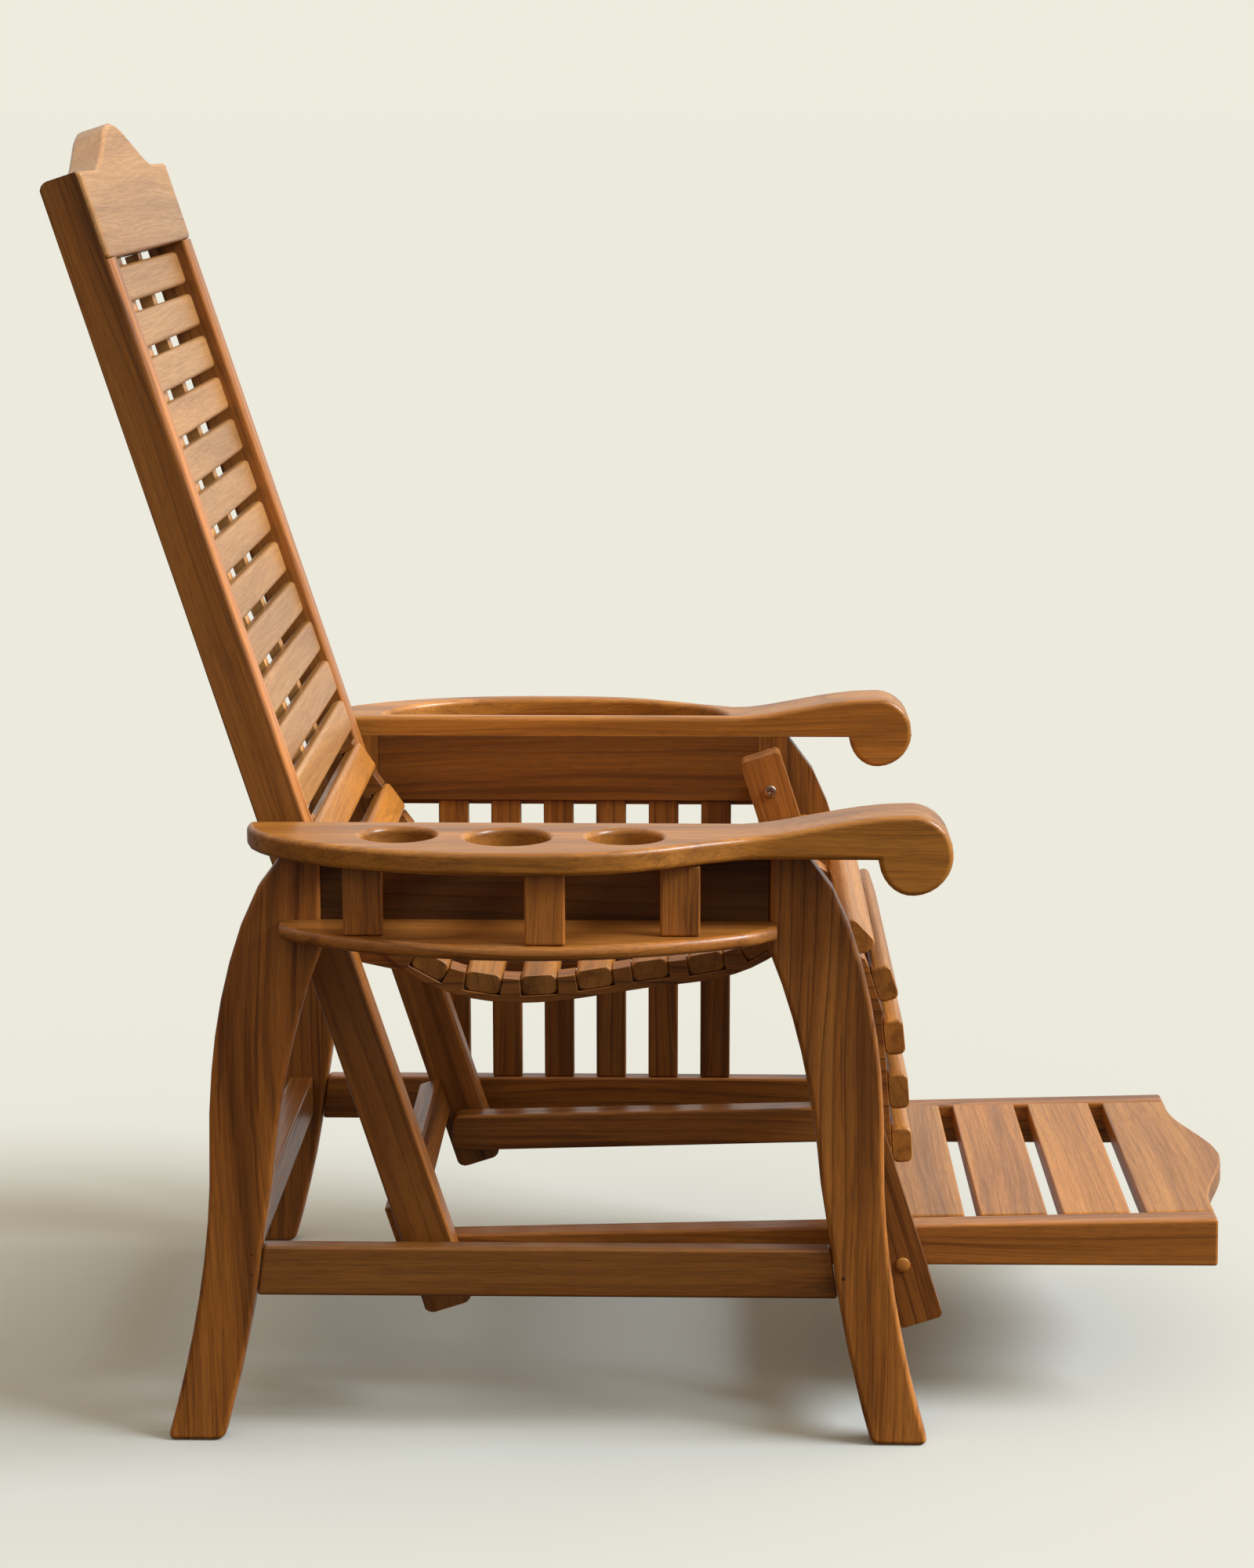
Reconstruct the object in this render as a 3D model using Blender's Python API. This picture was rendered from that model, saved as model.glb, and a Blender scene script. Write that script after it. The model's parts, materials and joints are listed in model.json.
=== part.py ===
"""Slatted teak easy chair: two fixed side frames carry a back, a seat and a footrest that swing together.

The back stiles and the front links are two equal, parallel arms. The seat and the footrest hang between
them and stay level, so leaning back swings the seat forward and pushes the footrest out and up.
"""

import math

import bmesh
import bpy
import numpy as np
from mathutils import Vector

# Frame: +X is the way the sitter faces, +Y the sitter's left, +Z up. Lengths in metres, angles in degrees.

# Fits
JOINT_GAP = 0.0003
PIVOT_CLEARANCE = 0.0004

# Finish
TEAK = (0.36, 0.165, 0.055, 1.0)
TEAK_LIGHT = (0.46, 0.235, 0.095, 1.0)
TEAK_DARK = (0.22, 0.095, 0.032, 1.0)
STEEL = (0.55, 0.50, 0.44, 1.0)
TEAK_ROUGHNESS = 0.42
STEEL_ROUGHNESS = 0.35
SHARP_ANGLE = 35.0

# Side frames: legs, measured from the middle between front and rear leg
SIDE_INNER_Y = 0.267
LEG_THICKNESS = 0.025
LEG_WAIST_REACH = 0.296
LEG_WAIST_Z = 0.250
LEG_TOP_INSET = 0.0605
LEG_TOP_ROUND = 0.0125
LEG_FOOT_SPLAY = 0.0425
LEG_FOOT_WIDTH = 0.0505
LEG_SHOULDER_WIDTH = 0.077
LEG_SHOULDER_Z = 0.450
LEG_WIDEN_Z = 0.190
LEG_TOP_POWER = 2.4
LEG_ROUND_POWER = 12
LEG_FOOT_POWER = 1.7
LEG_STEPS = 16

# Side frames: boards and stretchers
SIDE_BOARD_THICKNESS = 0.022
SIDE_BOARD_HEIGHT = 0.0665
STRETCHER_Z = 0.134
STRETCHER_HEIGHT = 0.045
STRETCHER_THICKNESS = 0.020
STRETCHER_SETBACK = 0.005
STRETCHER_END_STEPS = 3
CROSS_STRETCHER_THICKNESS = 0.024
CROSS_STRETCHER_HEIGHT = 0.041
FRONT_CROSS_STRETCHER_Z = 0.060
CROSS_STRETCHER_INSET = 0.010

# Arms
ARM_UNDERSIDE_Z = 0.5385
ARM_THICKNESS = 0.020
ARM_INNER_Y = 0.267
ARM_REAR_X = -0.2575
ARM_BULGE_X = -0.035
ARM_NECK_X = 0.190
ARM_REAR_WIDTH = 0.014
ARM_BULGE_WIDTH = 0.133
ARM_NECK_WIDTH = 0.064
ARM_SWELL_POWER = 0.6
ARM_DRAW_IN_POWER = 1.7
ARM_NECK_LEAD = 0.020
ARM_NECK_RISE_POWER = 0.85
ARM_STEPS = 22
ARM_NECK_STEPS = 8
ARM_STEP_POWER = 1.5
ARM_SHORTEST_STEP = 0.002
SCROLL_X = 0.314
SCROLL_RISE = 0.004
SCROLL_RADIUS = 0.035
SCROLL_HEEL = 0.029
SCROLL_JOIN_ANGLE = 98.0
SCROLL_TIP_ANGLE = 5.0
SCROLL_STEPS = 15

# Right arm: cup holes, the shelf under them and its posts
CUP_HOLE_X = (-0.1235, -0.0295, 0.070)
CUP_HOLE_Y = (0.322, 0.330, 0.327)
CUP_HOLE_DIAMETER = (0.063, 0.071, 0.064)
CUP_HOLE_STEPS = 32
SHELF_TOP_Z = 0.4765
SHELF_THICKNESS = 0.013
SHELF_REAR_X = -0.228
SHELF_LENGTH = 0.428
SHELF_TIP_WIDTH = 0.020
SHELF_BELLY = 0.099
SHELF_POWER = 0.68
SHELF_STEPS = 24
POST_WIDTH = 0.034
POST_DEPTH = 0.0075
POST_SETBACK = 0.0025
CUP_POST_X = (-0.1515, 0.004, 0.117)

# Left arm: magazine slot, and the slats that close the side below it
SLOT_REAR_X = -0.189
SLOT_LENGTH = 0.352
SLOT_WIDTH = 0.099
SLOT_INNER_MARGIN = 0.015
SLOT_OUTER_MARGIN = 0.016
SLOT_ROUNDNESS = (2.5, 0.556)
SLOT_STEPS = 20
MAGAZINE_POST_X = (-0.085, -0.015)
MAGAZINE_SLAT_COUNT = 6
MAGAZINE_SLAT_PITCH = 0.0537
MAGAZINE_SLAT_WIDTH = 0.0305
MAGAZINE_SLAT_THICKNESS = 0.016
MAGAZINE_SLAT_MIDDLE_X = 0.0165

# Parallel linkage
RECLINE = 18.0
REAR_PIVOT_IN_LEG = 0.02125
FRONT_PIVOT_IN_LEG = 0.01075
PIVOT_Z = 0.494
SEAT_PIVOT_DROP = 0.062
FOOTREST_PIVOT_DROP = 0.362
LINK_INNER_Y = 0.206
LINK_THICKNESS = 0.032
STILE_WIDTH = 0.045
STILE_TOP_WIDTH = 0.0395
STILE_TAPER_START = 0.030
STILE_ABOVE_PIVOT = 0.644
STILE_BELOW_PIVOT = 0.407
LINK_WIDTH = 0.041
LINK_ABOVE_PIVOT = 0.036
LINK_BELOW_PIVOT = 0.419

# Pivots: shoulder bolts in the side frames, wooden spigots on the seat and footrest rails
BOLT_RADIUS = 0.004
BOLT_HEAD_RADIUS = 0.0058
BOLT_HEAD_HEIGHT = 0.002
BOLT_IN_LEG = 0.018
SPACER_RADIUS = 0.010
SPIGOT_RADIUS = 0.0062
SEAT_SPIGOT_LENGTH = 0.022
SPIGOT_PROUD = 0.0008
ROUND_STEPS = 24

# Back
HEADREST_THICKNESS = 0.032
HEADREST_LAP = 0.005
HEADREST_BOTTOM = 0.567
HEADREST_CROWN = 0.041
HEADREST_CROWN_HALF = 0.165
HEADREST_STEPS = 28
BACK_SLAT_COUNT = 12
BACK_SLAT_WIDTH = 0.0330
BACK_SLAT_THICKNESS = 0.013
BACK_SLAT_PITCH = 0.0426
BACK_SLAT_TOP_GAP = 0.0075
BACK_SLAT_RECESS = 0.013
BACK_SLAT_LUMBAR_RECESS = 0.001
BACK_SLAT_LUMBAR_COUNT = 5
BACK_SLAT_ROUND = 0.004
BATTEN_Y = 0.058
BATTEN_WIDTH = 0.020
BATTEN_THICKNESS = 0.013
BATTEN_HOUSING = 0.002
CROSSBAR_THICKNESS = 0.021
CROSSBAR_HEIGHT = 0.037
CROSSBAR_SETBACK = 0.012
CROSSBAR_ABOVE_PIN = 0.015

# Seat: the curve through the middle of the slats, from the small of the back over the knee to the shin.
# Each point: how far along from the rear pivot to the front pivot, as a share, and its height.
SEAT_PATH = (
    (-0.0048, 0.5440),
    (0.0226, 0.5266),
    (0.0799, 0.4922),
    (0.1692, 0.4440),
    (0.2741, 0.4110),
    (0.4887, 0.3970),
    (0.7366, 0.4120),
    (0.9440, 0.4320),
    (1.0894, 0.4610),
    (1.1800, 0.4355),
    (1.2480, 0.3456),
    (1.2700, 0.2290),
)
SEAT_SLAT_COUNT = 16
SEAT_SLAT_WIDTH = 0.033
SEAT_SLAT_THICKNESS = 0.018
SEAT_SLAT_ROUND = 0.004
SEAT_SLAT_PROUD = 0.003
SEAT_SLAT_END_INSET = 0.0008
SEAT_END_MARGIN = 0.005
SEAT_RAIL_BELOW = 0.016
SEAT_RAIL_THICKNESS = 0.028
SEAT_RAIL_SIDE_GAP = 0.0015
SEAT_BOSS_RADIUS = 0.015
SEAT_LUG_RADIUS = 0.012
SEAT_LUG_JOIN = 0.185
BOSS_SIDE_INSET = 0.001
SEAT_PATH_STEPS = 24
SEAT_RAIL_STEPS = 60

# Footrest
FOOTREST_TILT = 1.3
FOOTREST_RAIL_THICKNESS = 0.026
FOOTREST_RAIL_ABOVE_PIN = 0.0268
FOOTREST_RAIL_FRONT_DEPTH = 0.0443
FOOTREST_RAIL_BEND_DEPTH = 0.0375
FOOTREST_RAIL_REAR_DEPTH = 0.037
FOOTREST_RAIL_BEND_BEHIND_PIN = 0.048
FOOTREST_RAIL_REAR_DROP = 0.0035
FOOTREST_RAIL_BEHIND_PIN = 0.0125
FOOTREST_RAIL_AHEAD = 0.2863
FOOTREST_RAIL_END_ROUND = 0.010
FOOTREST_RAIL_END_STEPS = 4
FOOTREST_BOARD_COUNT = 4
FOOTREST_BOARD_START = -0.001
FOOTREST_BOARD_WIDTH = 0.0612
FOOTREST_BOARD_GAP = 0.014
FOOTREST_BOARD_THICKNESS = 0.020
FOOTREST_NOSE = 0.030
FOOTREST_NOSE_HALF = 0.150
FOOTREST_STEPS = 24


def leg_outer(z):
    """How far the sabre leg's outer edge stands from the middle of the side frame, at a height."""
    if z > LEG_WAIST_Z:
        rise = (z - LEG_WAIST_Z) / (ARM_UNDERSIDE_Z - LEG_WAIST_Z)
        return LEG_WAIST_REACH - LEG_TOP_INSET * rise**LEG_TOP_POWER - LEG_TOP_ROUND * rise**LEG_ROUND_POWER
    return LEG_WAIST_REACH + LEG_FOOT_SPLAY * (1 - z / LEG_WAIST_Z) ** LEG_FOOT_POWER


def leg_inner(z):
    z = min(z, LEG_SHOULDER_Z)
    widen = max(z - LEG_WIDEN_Z, 0.0) / (LEG_SHOULDER_Z - LEG_WIDEN_Z)
    return leg_outer(z) - LEG_FOOT_WIDTH - (LEG_SHOULDER_WIDTH - LEG_FOOT_WIDTH) * widen


# Derived places shared by several pieces
SIDES = (("right", -1), ("left", 1))
LEG_TOP_Z = ARM_UNDERSIDE_Z - JOINT_GAP
LEG_OUTER_Y = SIDE_INNER_Y + LEG_THICKNESS
SIDE_BOARD_OUTER_Y = SIDE_INNER_Y + SIDE_BOARD_THICKNESS
SIDE_BOARD_BOTTOM_Z = ARM_UNDERSIDE_Z - SIDE_BOARD_HEIGHT
LINK_OUTER_Y = LINK_INNER_Y + LINK_THICKNESS
RAIL_OUTER_Y = LINK_INNER_Y - SEAT_RAIL_SIDE_GAP
STILE_FRONT = STILE_WIDTH / 2
REAR_PIVOT_X = -leg_inner(PIVOT_Z) - REAR_PIVOT_IN_LEG
FRONT_PIVOT_X = leg_inner(PIVOT_Z) + FRONT_PIVOT_IN_LEG
REAR_TO_FRONT_PIVOT = FRONT_PIVOT_X - REAR_PIVOT_X


def make_material(name, colour, roughness, metallic=0.0):
    material = bpy.data.materials.new(name)
    material.use_nodes = True
    shader = material.node_tree.nodes["Principled BSDF"]
    shader.inputs["Base Color"].default_value = colour
    shader.inputs["Roughness"].default_value = roughness
    shader.inputs["Metallic"].default_value = metallic
    return material


def make_empty(name, parent, x=0.0, z=0.0, turn=0.0):
    """A frame on a joint axis: turn leans its upright axis back, in degrees."""
    empty = bpy.data.objects.new(name, None)
    bpy.context.scene.collection.objects.link(empty)
    empty.parent = parent
    empty.location = (x, 0.0, z)
    empty.rotation_euler = (0.0, -math.radians(turn), 0.0)
    return empty


def finish_mesh(name, shape, parent, colour, roughness=TEAK_ROUGHNESS, metallic=0.0):
    bmesh.ops.recalc_face_normals(shape, faces=shape.faces)
    mesh = bpy.data.meshes.new(name)
    shape.to_mesh(mesh)
    shape.free()
    mesh.shade_smooth()
    mesh.set_sharp_from_angle(angle=math.radians(SHARP_ANGLE))
    thing = bpy.data.objects.new(name, mesh)
    thing.data.materials.append(make_material(name, colour, roughness, metallic))
    bpy.context.scene.collection.objects.link(thing)
    thing.parent = parent
    return thing


def add_ring_solid(shape, rings):
    """A closed solid through rings of equally many points, capped at both ends."""
    loops = [[shape.verts.new(point) for point in ring] for ring in rings]
    for first, second in zip(loops, loops[1:]):
        for i in range(len(first)):
            j = (i + 1) % len(first)
            shape.faces.new((first[i], first[j], second[j], second[i]))
    shape.faces.new(loops[0])
    shape.faces.new(loops[-1])


def add_side_prism(shape, outline, y0, y1):
    """An outline in X and Z, given a thickness in Y."""
    add_ring_solid(shape, [[(x, y, z) for x, z in outline] for y in (y0, y1)])


def add_plan_prism(shape, outline, z0, z1):
    """An outline in X and Y, given a thickness in Z."""
    add_ring_solid(shape, [[(x, y, z) for x, y in outline] for z in (z0, z1)])


def add_pin(shape, x, z, radius, y0, y1):
    add_side_prism(shape, circle(x, z, radius), y0, y1)


def side_prism(name, outline, y0, y1, parent, colour):
    shape = bmesh.new()
    add_side_prism(shape, outline, y0, y1)
    return finish_mesh(name, shape, parent, colour)


def block(name, x, y, z, parent, colour):
    """A straight piece between pairs of X, Y and Z faces."""
    outline = [(x[0], z[0]), (x[1], z[0]), (x[1], z[1]), (x[0], z[1])]
    return side_prism(name, outline, y[0], y[1], parent, colour)


def make_tool(name, shape, parent):
    """A shape that only cuts or joins, kept out of the object itself."""
    tool = finish_mesh(name, shape, parent, TEAK)
    tool.hide_render = True
    tool.display_type = "WIRE"
    return tool


def combine(thing, tool, operation):
    change = thing.modifiers.new(f"{operation.lower()} {tool.name}", "BOOLEAN")
    change.operation = operation
    change.solver = "EXACT"
    change.object = tool


def circle(x, z, radius, steps=ROUND_STEPS):
    turns = [2 * math.pi * (i + 0.5) / steps for i in range(steps)]
    return [(x + radius * math.cos(t), z + radius * math.sin(t)) for t in turns]


def arc(x, z, radius, start, end, steps):
    """Points along an arc, from one angle to another in degrees."""
    turns = np.radians(np.linspace(start, end, steps + 1))
    return [(x + radius * math.cos(t), z + radius * math.sin(t)) for t in turns]


def rounded_bar(width, thickness, radius, steps=2):
    """A slat's section, lying flat with its middle at the origin."""
    a, b = width / 2 - radius, thickness / 2 - radius
    corners = ((a, b, 0), (-a, b, 90), (-a, -b, 180), (a, -b, 270))
    return [point for x, z, t in corners for point in arc(x, z, radius, t, t + 90, steps)]


def smoothstep(t):
    t = min(max(t, 0.0), 1.0)
    return t * t * (3 - 2 * t)


def sided(side, y0, y1):
    """A span in Y on the left side, mirrored for the right side."""
    return (y0, y1) if side > 0 else (-y1, -y0)


class SmoothPath:
    """A natural cubic through points, measured by its own length."""

    def __init__(self, points, steps):
        knots = np.array([tuple(point) for point in points])
        chord = np.concatenate([[0.0], np.cumsum(np.hypot(*np.diff(knots, axis=0).T))])
        curve = np.linspace(0.0, chord[-1], steps * len(points))
        self.points = np.column_stack([natural_cubic(chord, knots[:, i], curve) for i in (0, 1)])
        self.lengths = np.concatenate([[0.0], np.cumsum(np.hypot(*np.diff(self.points, axis=0).T))])
        self.length = self.lengths[-1]

    def at(self, distance):
        """The point at a distance along the path, its direction, and the way up from it."""
        near = [self.position(distance + step) for step in (-1e-4, 1e-4)]
        along = (near[1] - near[0]).normalized()
        return self.position(distance), along, Vector((-along.y, along.x))

    def position(self, distance):
        distance = min(max(distance, 0.0), self.length)
        return Vector([np.interp(distance, self.lengths, self.points[:, i]) for i in (0, 1)])


def natural_cubic(knots, values, at):
    """Values of the natural cubic spline through (knots, values)."""
    gaps = np.diff(knots)
    count = len(knots)
    system = np.eye(count)
    pull = np.zeros(count)
    for i in range(1, count - 1):
        system[i, i - 1:i + 2] = gaps[i - 1], 2 * (gaps[i - 1] + gaps[i]), gaps[i]
        rise = (values[i + 1] - values[i]) / gaps[i] - (values[i] - values[i - 1]) / gaps[i - 1]
        pull[i] = 6 * rise
    bend = np.linalg.solve(system, pull)
    i = np.clip(np.searchsorted(knots, at) - 1, 0, count - 2)
    before, after = at - knots[i], knots[i + 1] - at
    cubic = (bend[i] * after**3 + bend[i + 1] * before**3) / (6 * gaps[i])
    start = (values[i] / gaps[i] - bend[i] * gaps[i] / 6) * after
    end = (values[i + 1] / gaps[i] - bend[i + 1] * gaps[i] / 6) * before
    return cubic + start + end


def make_legs(root):
    heights = np.linspace(0.0, LEG_TOP_Z, LEG_STEPS + 1)
    inner_heights = sorted([*np.linspace(0.0, LEG_SHOULDER_Z, LEG_STEPS), LEG_TOP_Z])
    outline = [(leg_outer(z), z) for z in heights] + [(leg_inner(z), z) for z in reversed(inner_heights)]
    ends = (("rear", -1, REAR_PIVOT_X), ("front", 1, FRONT_PIVOT_X))
    for name, side in SIDES:
        for end, facing, pivot_x in ends:
            y = sided(side, SIDE_INNER_Y, LEG_OUTER_Y)
            leg_name = f"{end}_leg_{name}"
            leg = side_prism(leg_name, [(facing * x, z) for x, z in outline], *y, root, TEAK)
            hole = bmesh.new()
            reach = sided(side, SIDE_INNER_Y - BOLT_IN_LEG, SIDE_INNER_Y + BOLT_IN_LEG + PIVOT_CLEARANCE)
            add_pin(hole, pivot_x, PIVOT_Z, BOLT_RADIUS + PIVOT_CLEARANCE, *reach)
            combine(leg, make_tool(f"bolt_hole_{leg_name}", hole, root), "DIFFERENCE")


def between_legs(z):
    """The clear half length between the legs' inner edges at a height."""
    return leg_inner(z) - JOINT_GAP


def make_side_boards(root):
    reach = min(between_legs(z) for z in (SIDE_BOARD_BOTTOM_Z, ARM_UNDERSIDE_Z))
    heights = (SIDE_BOARD_BOTTOM_Z, LEG_TOP_Z)
    for name, side in SIDES:
        y = sided(side, SIDE_INNER_Y, SIDE_BOARD_OUTER_Y)
        block(f"side_board_{name}", (-reach, reach), y, heights, root, TEAK_DARK)


def make_stretchers(root):
    """Side stretchers, with ends cut to the legs' curved inner edges, and the two cross stretchers."""
    top = STRETCHER_Z + STRETCHER_HEIGHT
    heights = np.linspace(STRETCHER_Z, top, STRETCHER_END_STEPS + 1)
    outline = [(between_legs(z), z) for z in heights]
    outline += [(-x, z) for x, z in reversed(outline)]
    outer = LEG_OUTER_Y - STRETCHER_SETBACK
    for name, side in SIDES:
        y = sided(side, outer - STRETCHER_THICKNESS, outer)
        side_prism(f"side_stretcher_{name}", outline, *y, root, TEAK)
    reach = SIDE_INNER_Y - JOINT_GAP
    crosses = (("rear", -1, top - CROSS_STRETCHER_HEIGHT), ("front", 1, FRONT_CROSS_STRETCHER_Z))
    for name, facing, bottom in crosses:
        near = leg_inner(bottom) + CROSS_STRETCHER_INSET
        x = sided(facing, near, near + CROSS_STRETCHER_THICKNESS)
        z = (bottom, bottom + CROSS_STRETCHER_HEIGHT)
        block(f"{name}_cross_stretcher", x, (-reach, reach), z, root, TEAK)


def arm_outer(x):
    """The arm's outer edge: it swells from the rear corner to the bulge and draws in to the neck."""
    if x < ARM_BULGE_X:
        swell = max(1 - ((x - ARM_BULGE_X) / (ARM_REAR_X - ARM_BULGE_X)) ** 2, 0.0) ** ARM_SWELL_POWER
        return ARM_INNER_Y + ARM_REAR_WIDTH + (ARM_BULGE_WIDTH - ARM_REAR_WIDTH) * swell
    draw_in = min((x - ARM_BULGE_X) / (ARM_NECK_X - ARM_BULGE_X), 1.0)
    swell = (1 + math.cos(math.pi * draw_in**ARM_DRAW_IN_POWER)) / 2
    return ARM_INNER_Y + ARM_NECK_WIDTH + (ARM_BULGE_WIDTH - ARM_NECK_WIDTH) * swell


def arm_sections():
    """Stations along the arm with their lower and upper heights: a flat board, then a round scroll."""
    bottom, top = ARM_UNDERSIDE_Z, ARM_UNDERSIDE_Z + ARM_THICKNESS
    scroll_z = ARM_UNDERSIDE_Z + SCROLL_RISE
    flat_length = ARM_NECK_X - ARM_NECK_LEAD - ARM_REAR_X
    shares = np.linspace(0.0, 1.0, ARM_STEPS) ** ARM_STEP_POWER
    flat = [(ARM_REAR_X + flat_length * share, bottom, top) for share in shares]
    join = math.radians(SCROLL_JOIN_ANGLE)
    join_x = SCROLL_X + SCROLL_RADIUS * math.cos(join)
    join_z = scroll_z + SCROLL_RADIUS * math.sin(join)
    under_x = SCROLL_X - SCROLL_HEEL * math.sqrt(1 - (SCROLL_RISE / SCROLL_RADIUS) ** 2)
    neck_start = flat[-1][0]

    def top_at(x):
        if x >= join_x:
            return scroll_z + math.sqrt(max(SCROLL_RADIUS**2 - (x - SCROLL_X) ** 2, 0.0))
        rise = smoothstep((x - neck_start) / (join_x - neck_start)) ** ARM_NECK_RISE_POWER
        return top + (join_z - top) * rise

    neck = [(x, bottom, top_at(x)) for x in np.linspace(neck_start, under_x, ARM_NECK_STEPS + 1)[1:]]
    turns = np.radians(np.linspace(180.0, SCROLL_TIP_ANGLE, SCROLL_STEPS + 1)[1:])
    scroll = []
    for turn in turns:
        x = SCROLL_X + (SCROLL_HEEL if math.cos(turn) < 0 else SCROLL_RADIUS) * math.cos(turn)
        scroll.append((x, scroll_z - SCROLL_RADIUS * math.sin(turn), top_at(x)))
    return flat + neck + [station for station in scroll if station[0] > under_x + ARM_SHORTEST_STEP]


def make_arm(name, side, root):
    rings = []
    for x, bottom, top in arm_sections():
        y0, y1 = sided(side, ARM_INNER_Y, arm_outer(x))
        rings.append([(x, y0, bottom), (x, y1, bottom), (x, y1, top), (x, y0, top)])
    shape = bmesh.new()
    add_ring_solid(shape, rings)
    return finish_mesh(f"armrest_{name}", shape, root, TEAK_LIGHT)


def slot_outline(side):
    """The magazine slot: straight along the arm's inner edge, bowed towards the outer edge."""
    power, root_power = SLOT_ROUNDNESS
    inner = ARM_INNER_Y + SLOT_INNER_MARGIN
    shares = (1 - np.cos(np.linspace(0.0, math.pi, SLOT_STEPS + 1))) / 2
    outline = []
    for share in shares:
        x = SLOT_REAR_X + SLOT_LENGTH * share
        bow = SLOT_WIDTH * (1 - abs(2 * share - 1) ** power) ** root_power
        outline.append((x, side * min(inner + bow, arm_outer(x) - SLOT_OUTER_MARGIN)))
    return outline


def make_arms(root):
    above, below = ARM_UNDERSIDE_Z + 2 * ARM_THICKNESS, ARM_UNDERSIDE_Z - ARM_THICKNESS
    arms = {side: make_arm(name, side, root) for name, side in SIDES}
    holes = bmesh.new()
    for x, y, diameter in zip(CUP_HOLE_X, CUP_HOLE_Y, CUP_HOLE_DIAMETER):
        add_plan_prism(holes, circle(x, -y, diameter / 2, CUP_HOLE_STEPS), below, above)
    combine(arms[-1], make_tool("cup_hole_cutter", holes, root), "DIFFERENCE")
    slot = bmesh.new()
    add_plan_prism(slot, slot_outline(1), below, above)
    combine(arms[1], make_tool("magazine_slot_cutter", slot, root), "DIFFERENCE")


def shelf_outer(x):
    share = min(max((x - SHELF_REAR_X) / SHELF_LENGTH, 0.0), 1.0)
    bow = math.sin(math.pi * share) ** SHELF_POWER
    return LEG_OUTER_Y + SHELF_TIP_WIDTH + (SHELF_BELLY - SHELF_TIP_WIDTH) * bow


def shelf_outline(side):
    """A bow-fronted shelf that laps the legs' outer faces and reaches in to the side board between them."""
    front_x = SHELF_REAR_X + SHELF_LENGTH
    notch = between_legs(SHELF_TOP_Z)
    on_leg, on_board = LEG_OUTER_Y + JOINT_GAP, SIDE_BOARD_OUTER_Y + JOINT_GAP
    inner = [(front_x, on_leg), (notch, on_leg), (notch, on_board)]
    inner += [(-notch, on_board), (-notch, on_leg), (SHELF_REAR_X, on_leg)]
    bow = [(x, shelf_outer(x)) for x in np.linspace(SHELF_REAR_X, front_x, SHELF_STEPS + 1)]
    return [(x, side * y) for x, y in bow + inner]


def make_shelf(name, side, root):
    shape = bmesh.new()
    add_plan_prism(shape, shelf_outline(side), SHELF_TOP_Z - SHELF_THICKNESS, SHELF_TOP_Z)
    return finish_mesh(name, shape, root, TEAK)


def post_spans(x, side):
    """A post's faces in X and Y, set back from the nearest edge of the arm above and the shelf below."""
    ends = (x - POST_WIDTH / 2, x + POST_WIDTH / 2)
    outer = min(edge(end) for edge in (arm_outer, shelf_outer) for end in ends) - POST_SETBACK
    return ends, sided(side, outer - POST_DEPTH, outer)


def make_cup_shelf(root):
    make_shelf("cup_shelf", -1, root)
    heights = (SHELF_TOP_Z + JOINT_GAP, ARM_UNDERSIDE_Z - JOINT_GAP)
    for number, x in enumerate(CUP_POST_X, 1):
        spans = post_spans(x, -1)
        block(f"cup_shelf_post_{number}", *spans, heights, root, TEAK)


def make_magazine_side(root):
    """The shelf under the magazine slot, with its posts in one piece, and the slats down to the stretcher."""
    shelf = make_shelf("magazine_shelf", 1, root)
    posts = bmesh.new()
    z0, z1 = SHELF_TOP_Z - SHELF_THICKNESS / 2, ARM_UNDERSIDE_Z - JOINT_GAP
    for x in MAGAZINE_POST_X:
        (x0, x1), y = post_spans(x, 1)
        add_side_prism(posts, [(x0, z0), (x1, z0), (x1, z1), (x0, z1)], *y)
    combine(shelf, make_tool("magazine_shelf_posts", posts, root), "UNION")
    middle_y = SIDE_INNER_Y + SIDE_BOARD_THICKNESS / 2
    y = (middle_y - MAGAZINE_SLAT_THICKNESS / 2, middle_y + MAGAZINE_SLAT_THICKNESS / 2)
    z = (STRETCHER_Z + STRETCHER_HEIGHT + JOINT_GAP, SIDE_BOARD_BOTTOM_Z - JOINT_GAP)
    for i in range(MAGAZINE_SLAT_COUNT):
        x = MAGAZINE_SLAT_MIDDLE_X + (i - (MAGAZINE_SLAT_COUNT - 1) / 2) * MAGAZINE_SLAT_PITCH
        spans = (x - MAGAZINE_SLAT_WIDTH / 2, x + MAGAZINE_SLAT_WIDTH / 2)
        block(f"magazine_slat_{i + 1}", spans, y, z, root, TEAK)


def make_pivot_bolts(root):
    """Shoulder bolts: head on the swinging piece, a collar that spaces it off the leg, a shank in the leg."""
    for name, side in SIDES:
        for end, x in (("rear", REAR_PIVOT_X), ("front", FRONT_PIVOT_X)):
            stations = (
                (LINK_INNER_Y - JOINT_GAP - BOLT_HEAD_HEIGHT, BOLT_HEAD_RADIUS),
                (LINK_INNER_Y - JOINT_GAP, BOLT_HEAD_RADIUS),
                (LINK_INNER_Y - JOINT_GAP, BOLT_RADIUS),
                (LINK_OUTER_Y + JOINT_GAP, BOLT_RADIUS),
                (LINK_OUTER_Y + JOINT_GAP, SPACER_RADIUS),
                (SIDE_INNER_Y - JOINT_GAP, SPACER_RADIUS),
                (SIDE_INNER_Y - JOINT_GAP, BOLT_RADIUS),
                (SIDE_INNER_Y + BOLT_IN_LEG, BOLT_RADIUS),
            )
            shape = bmesh.new()
            add_ring_solid(shape, [[(a, side * y, b) for a, b in circle(x, PIVOT_Z, r)] for y, r in stations])
            finish_mesh(f"pivot_bolt_{end}_{name}", shape, root, STEEL, STEEL_ROUGHNESS, 1.0)


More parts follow.
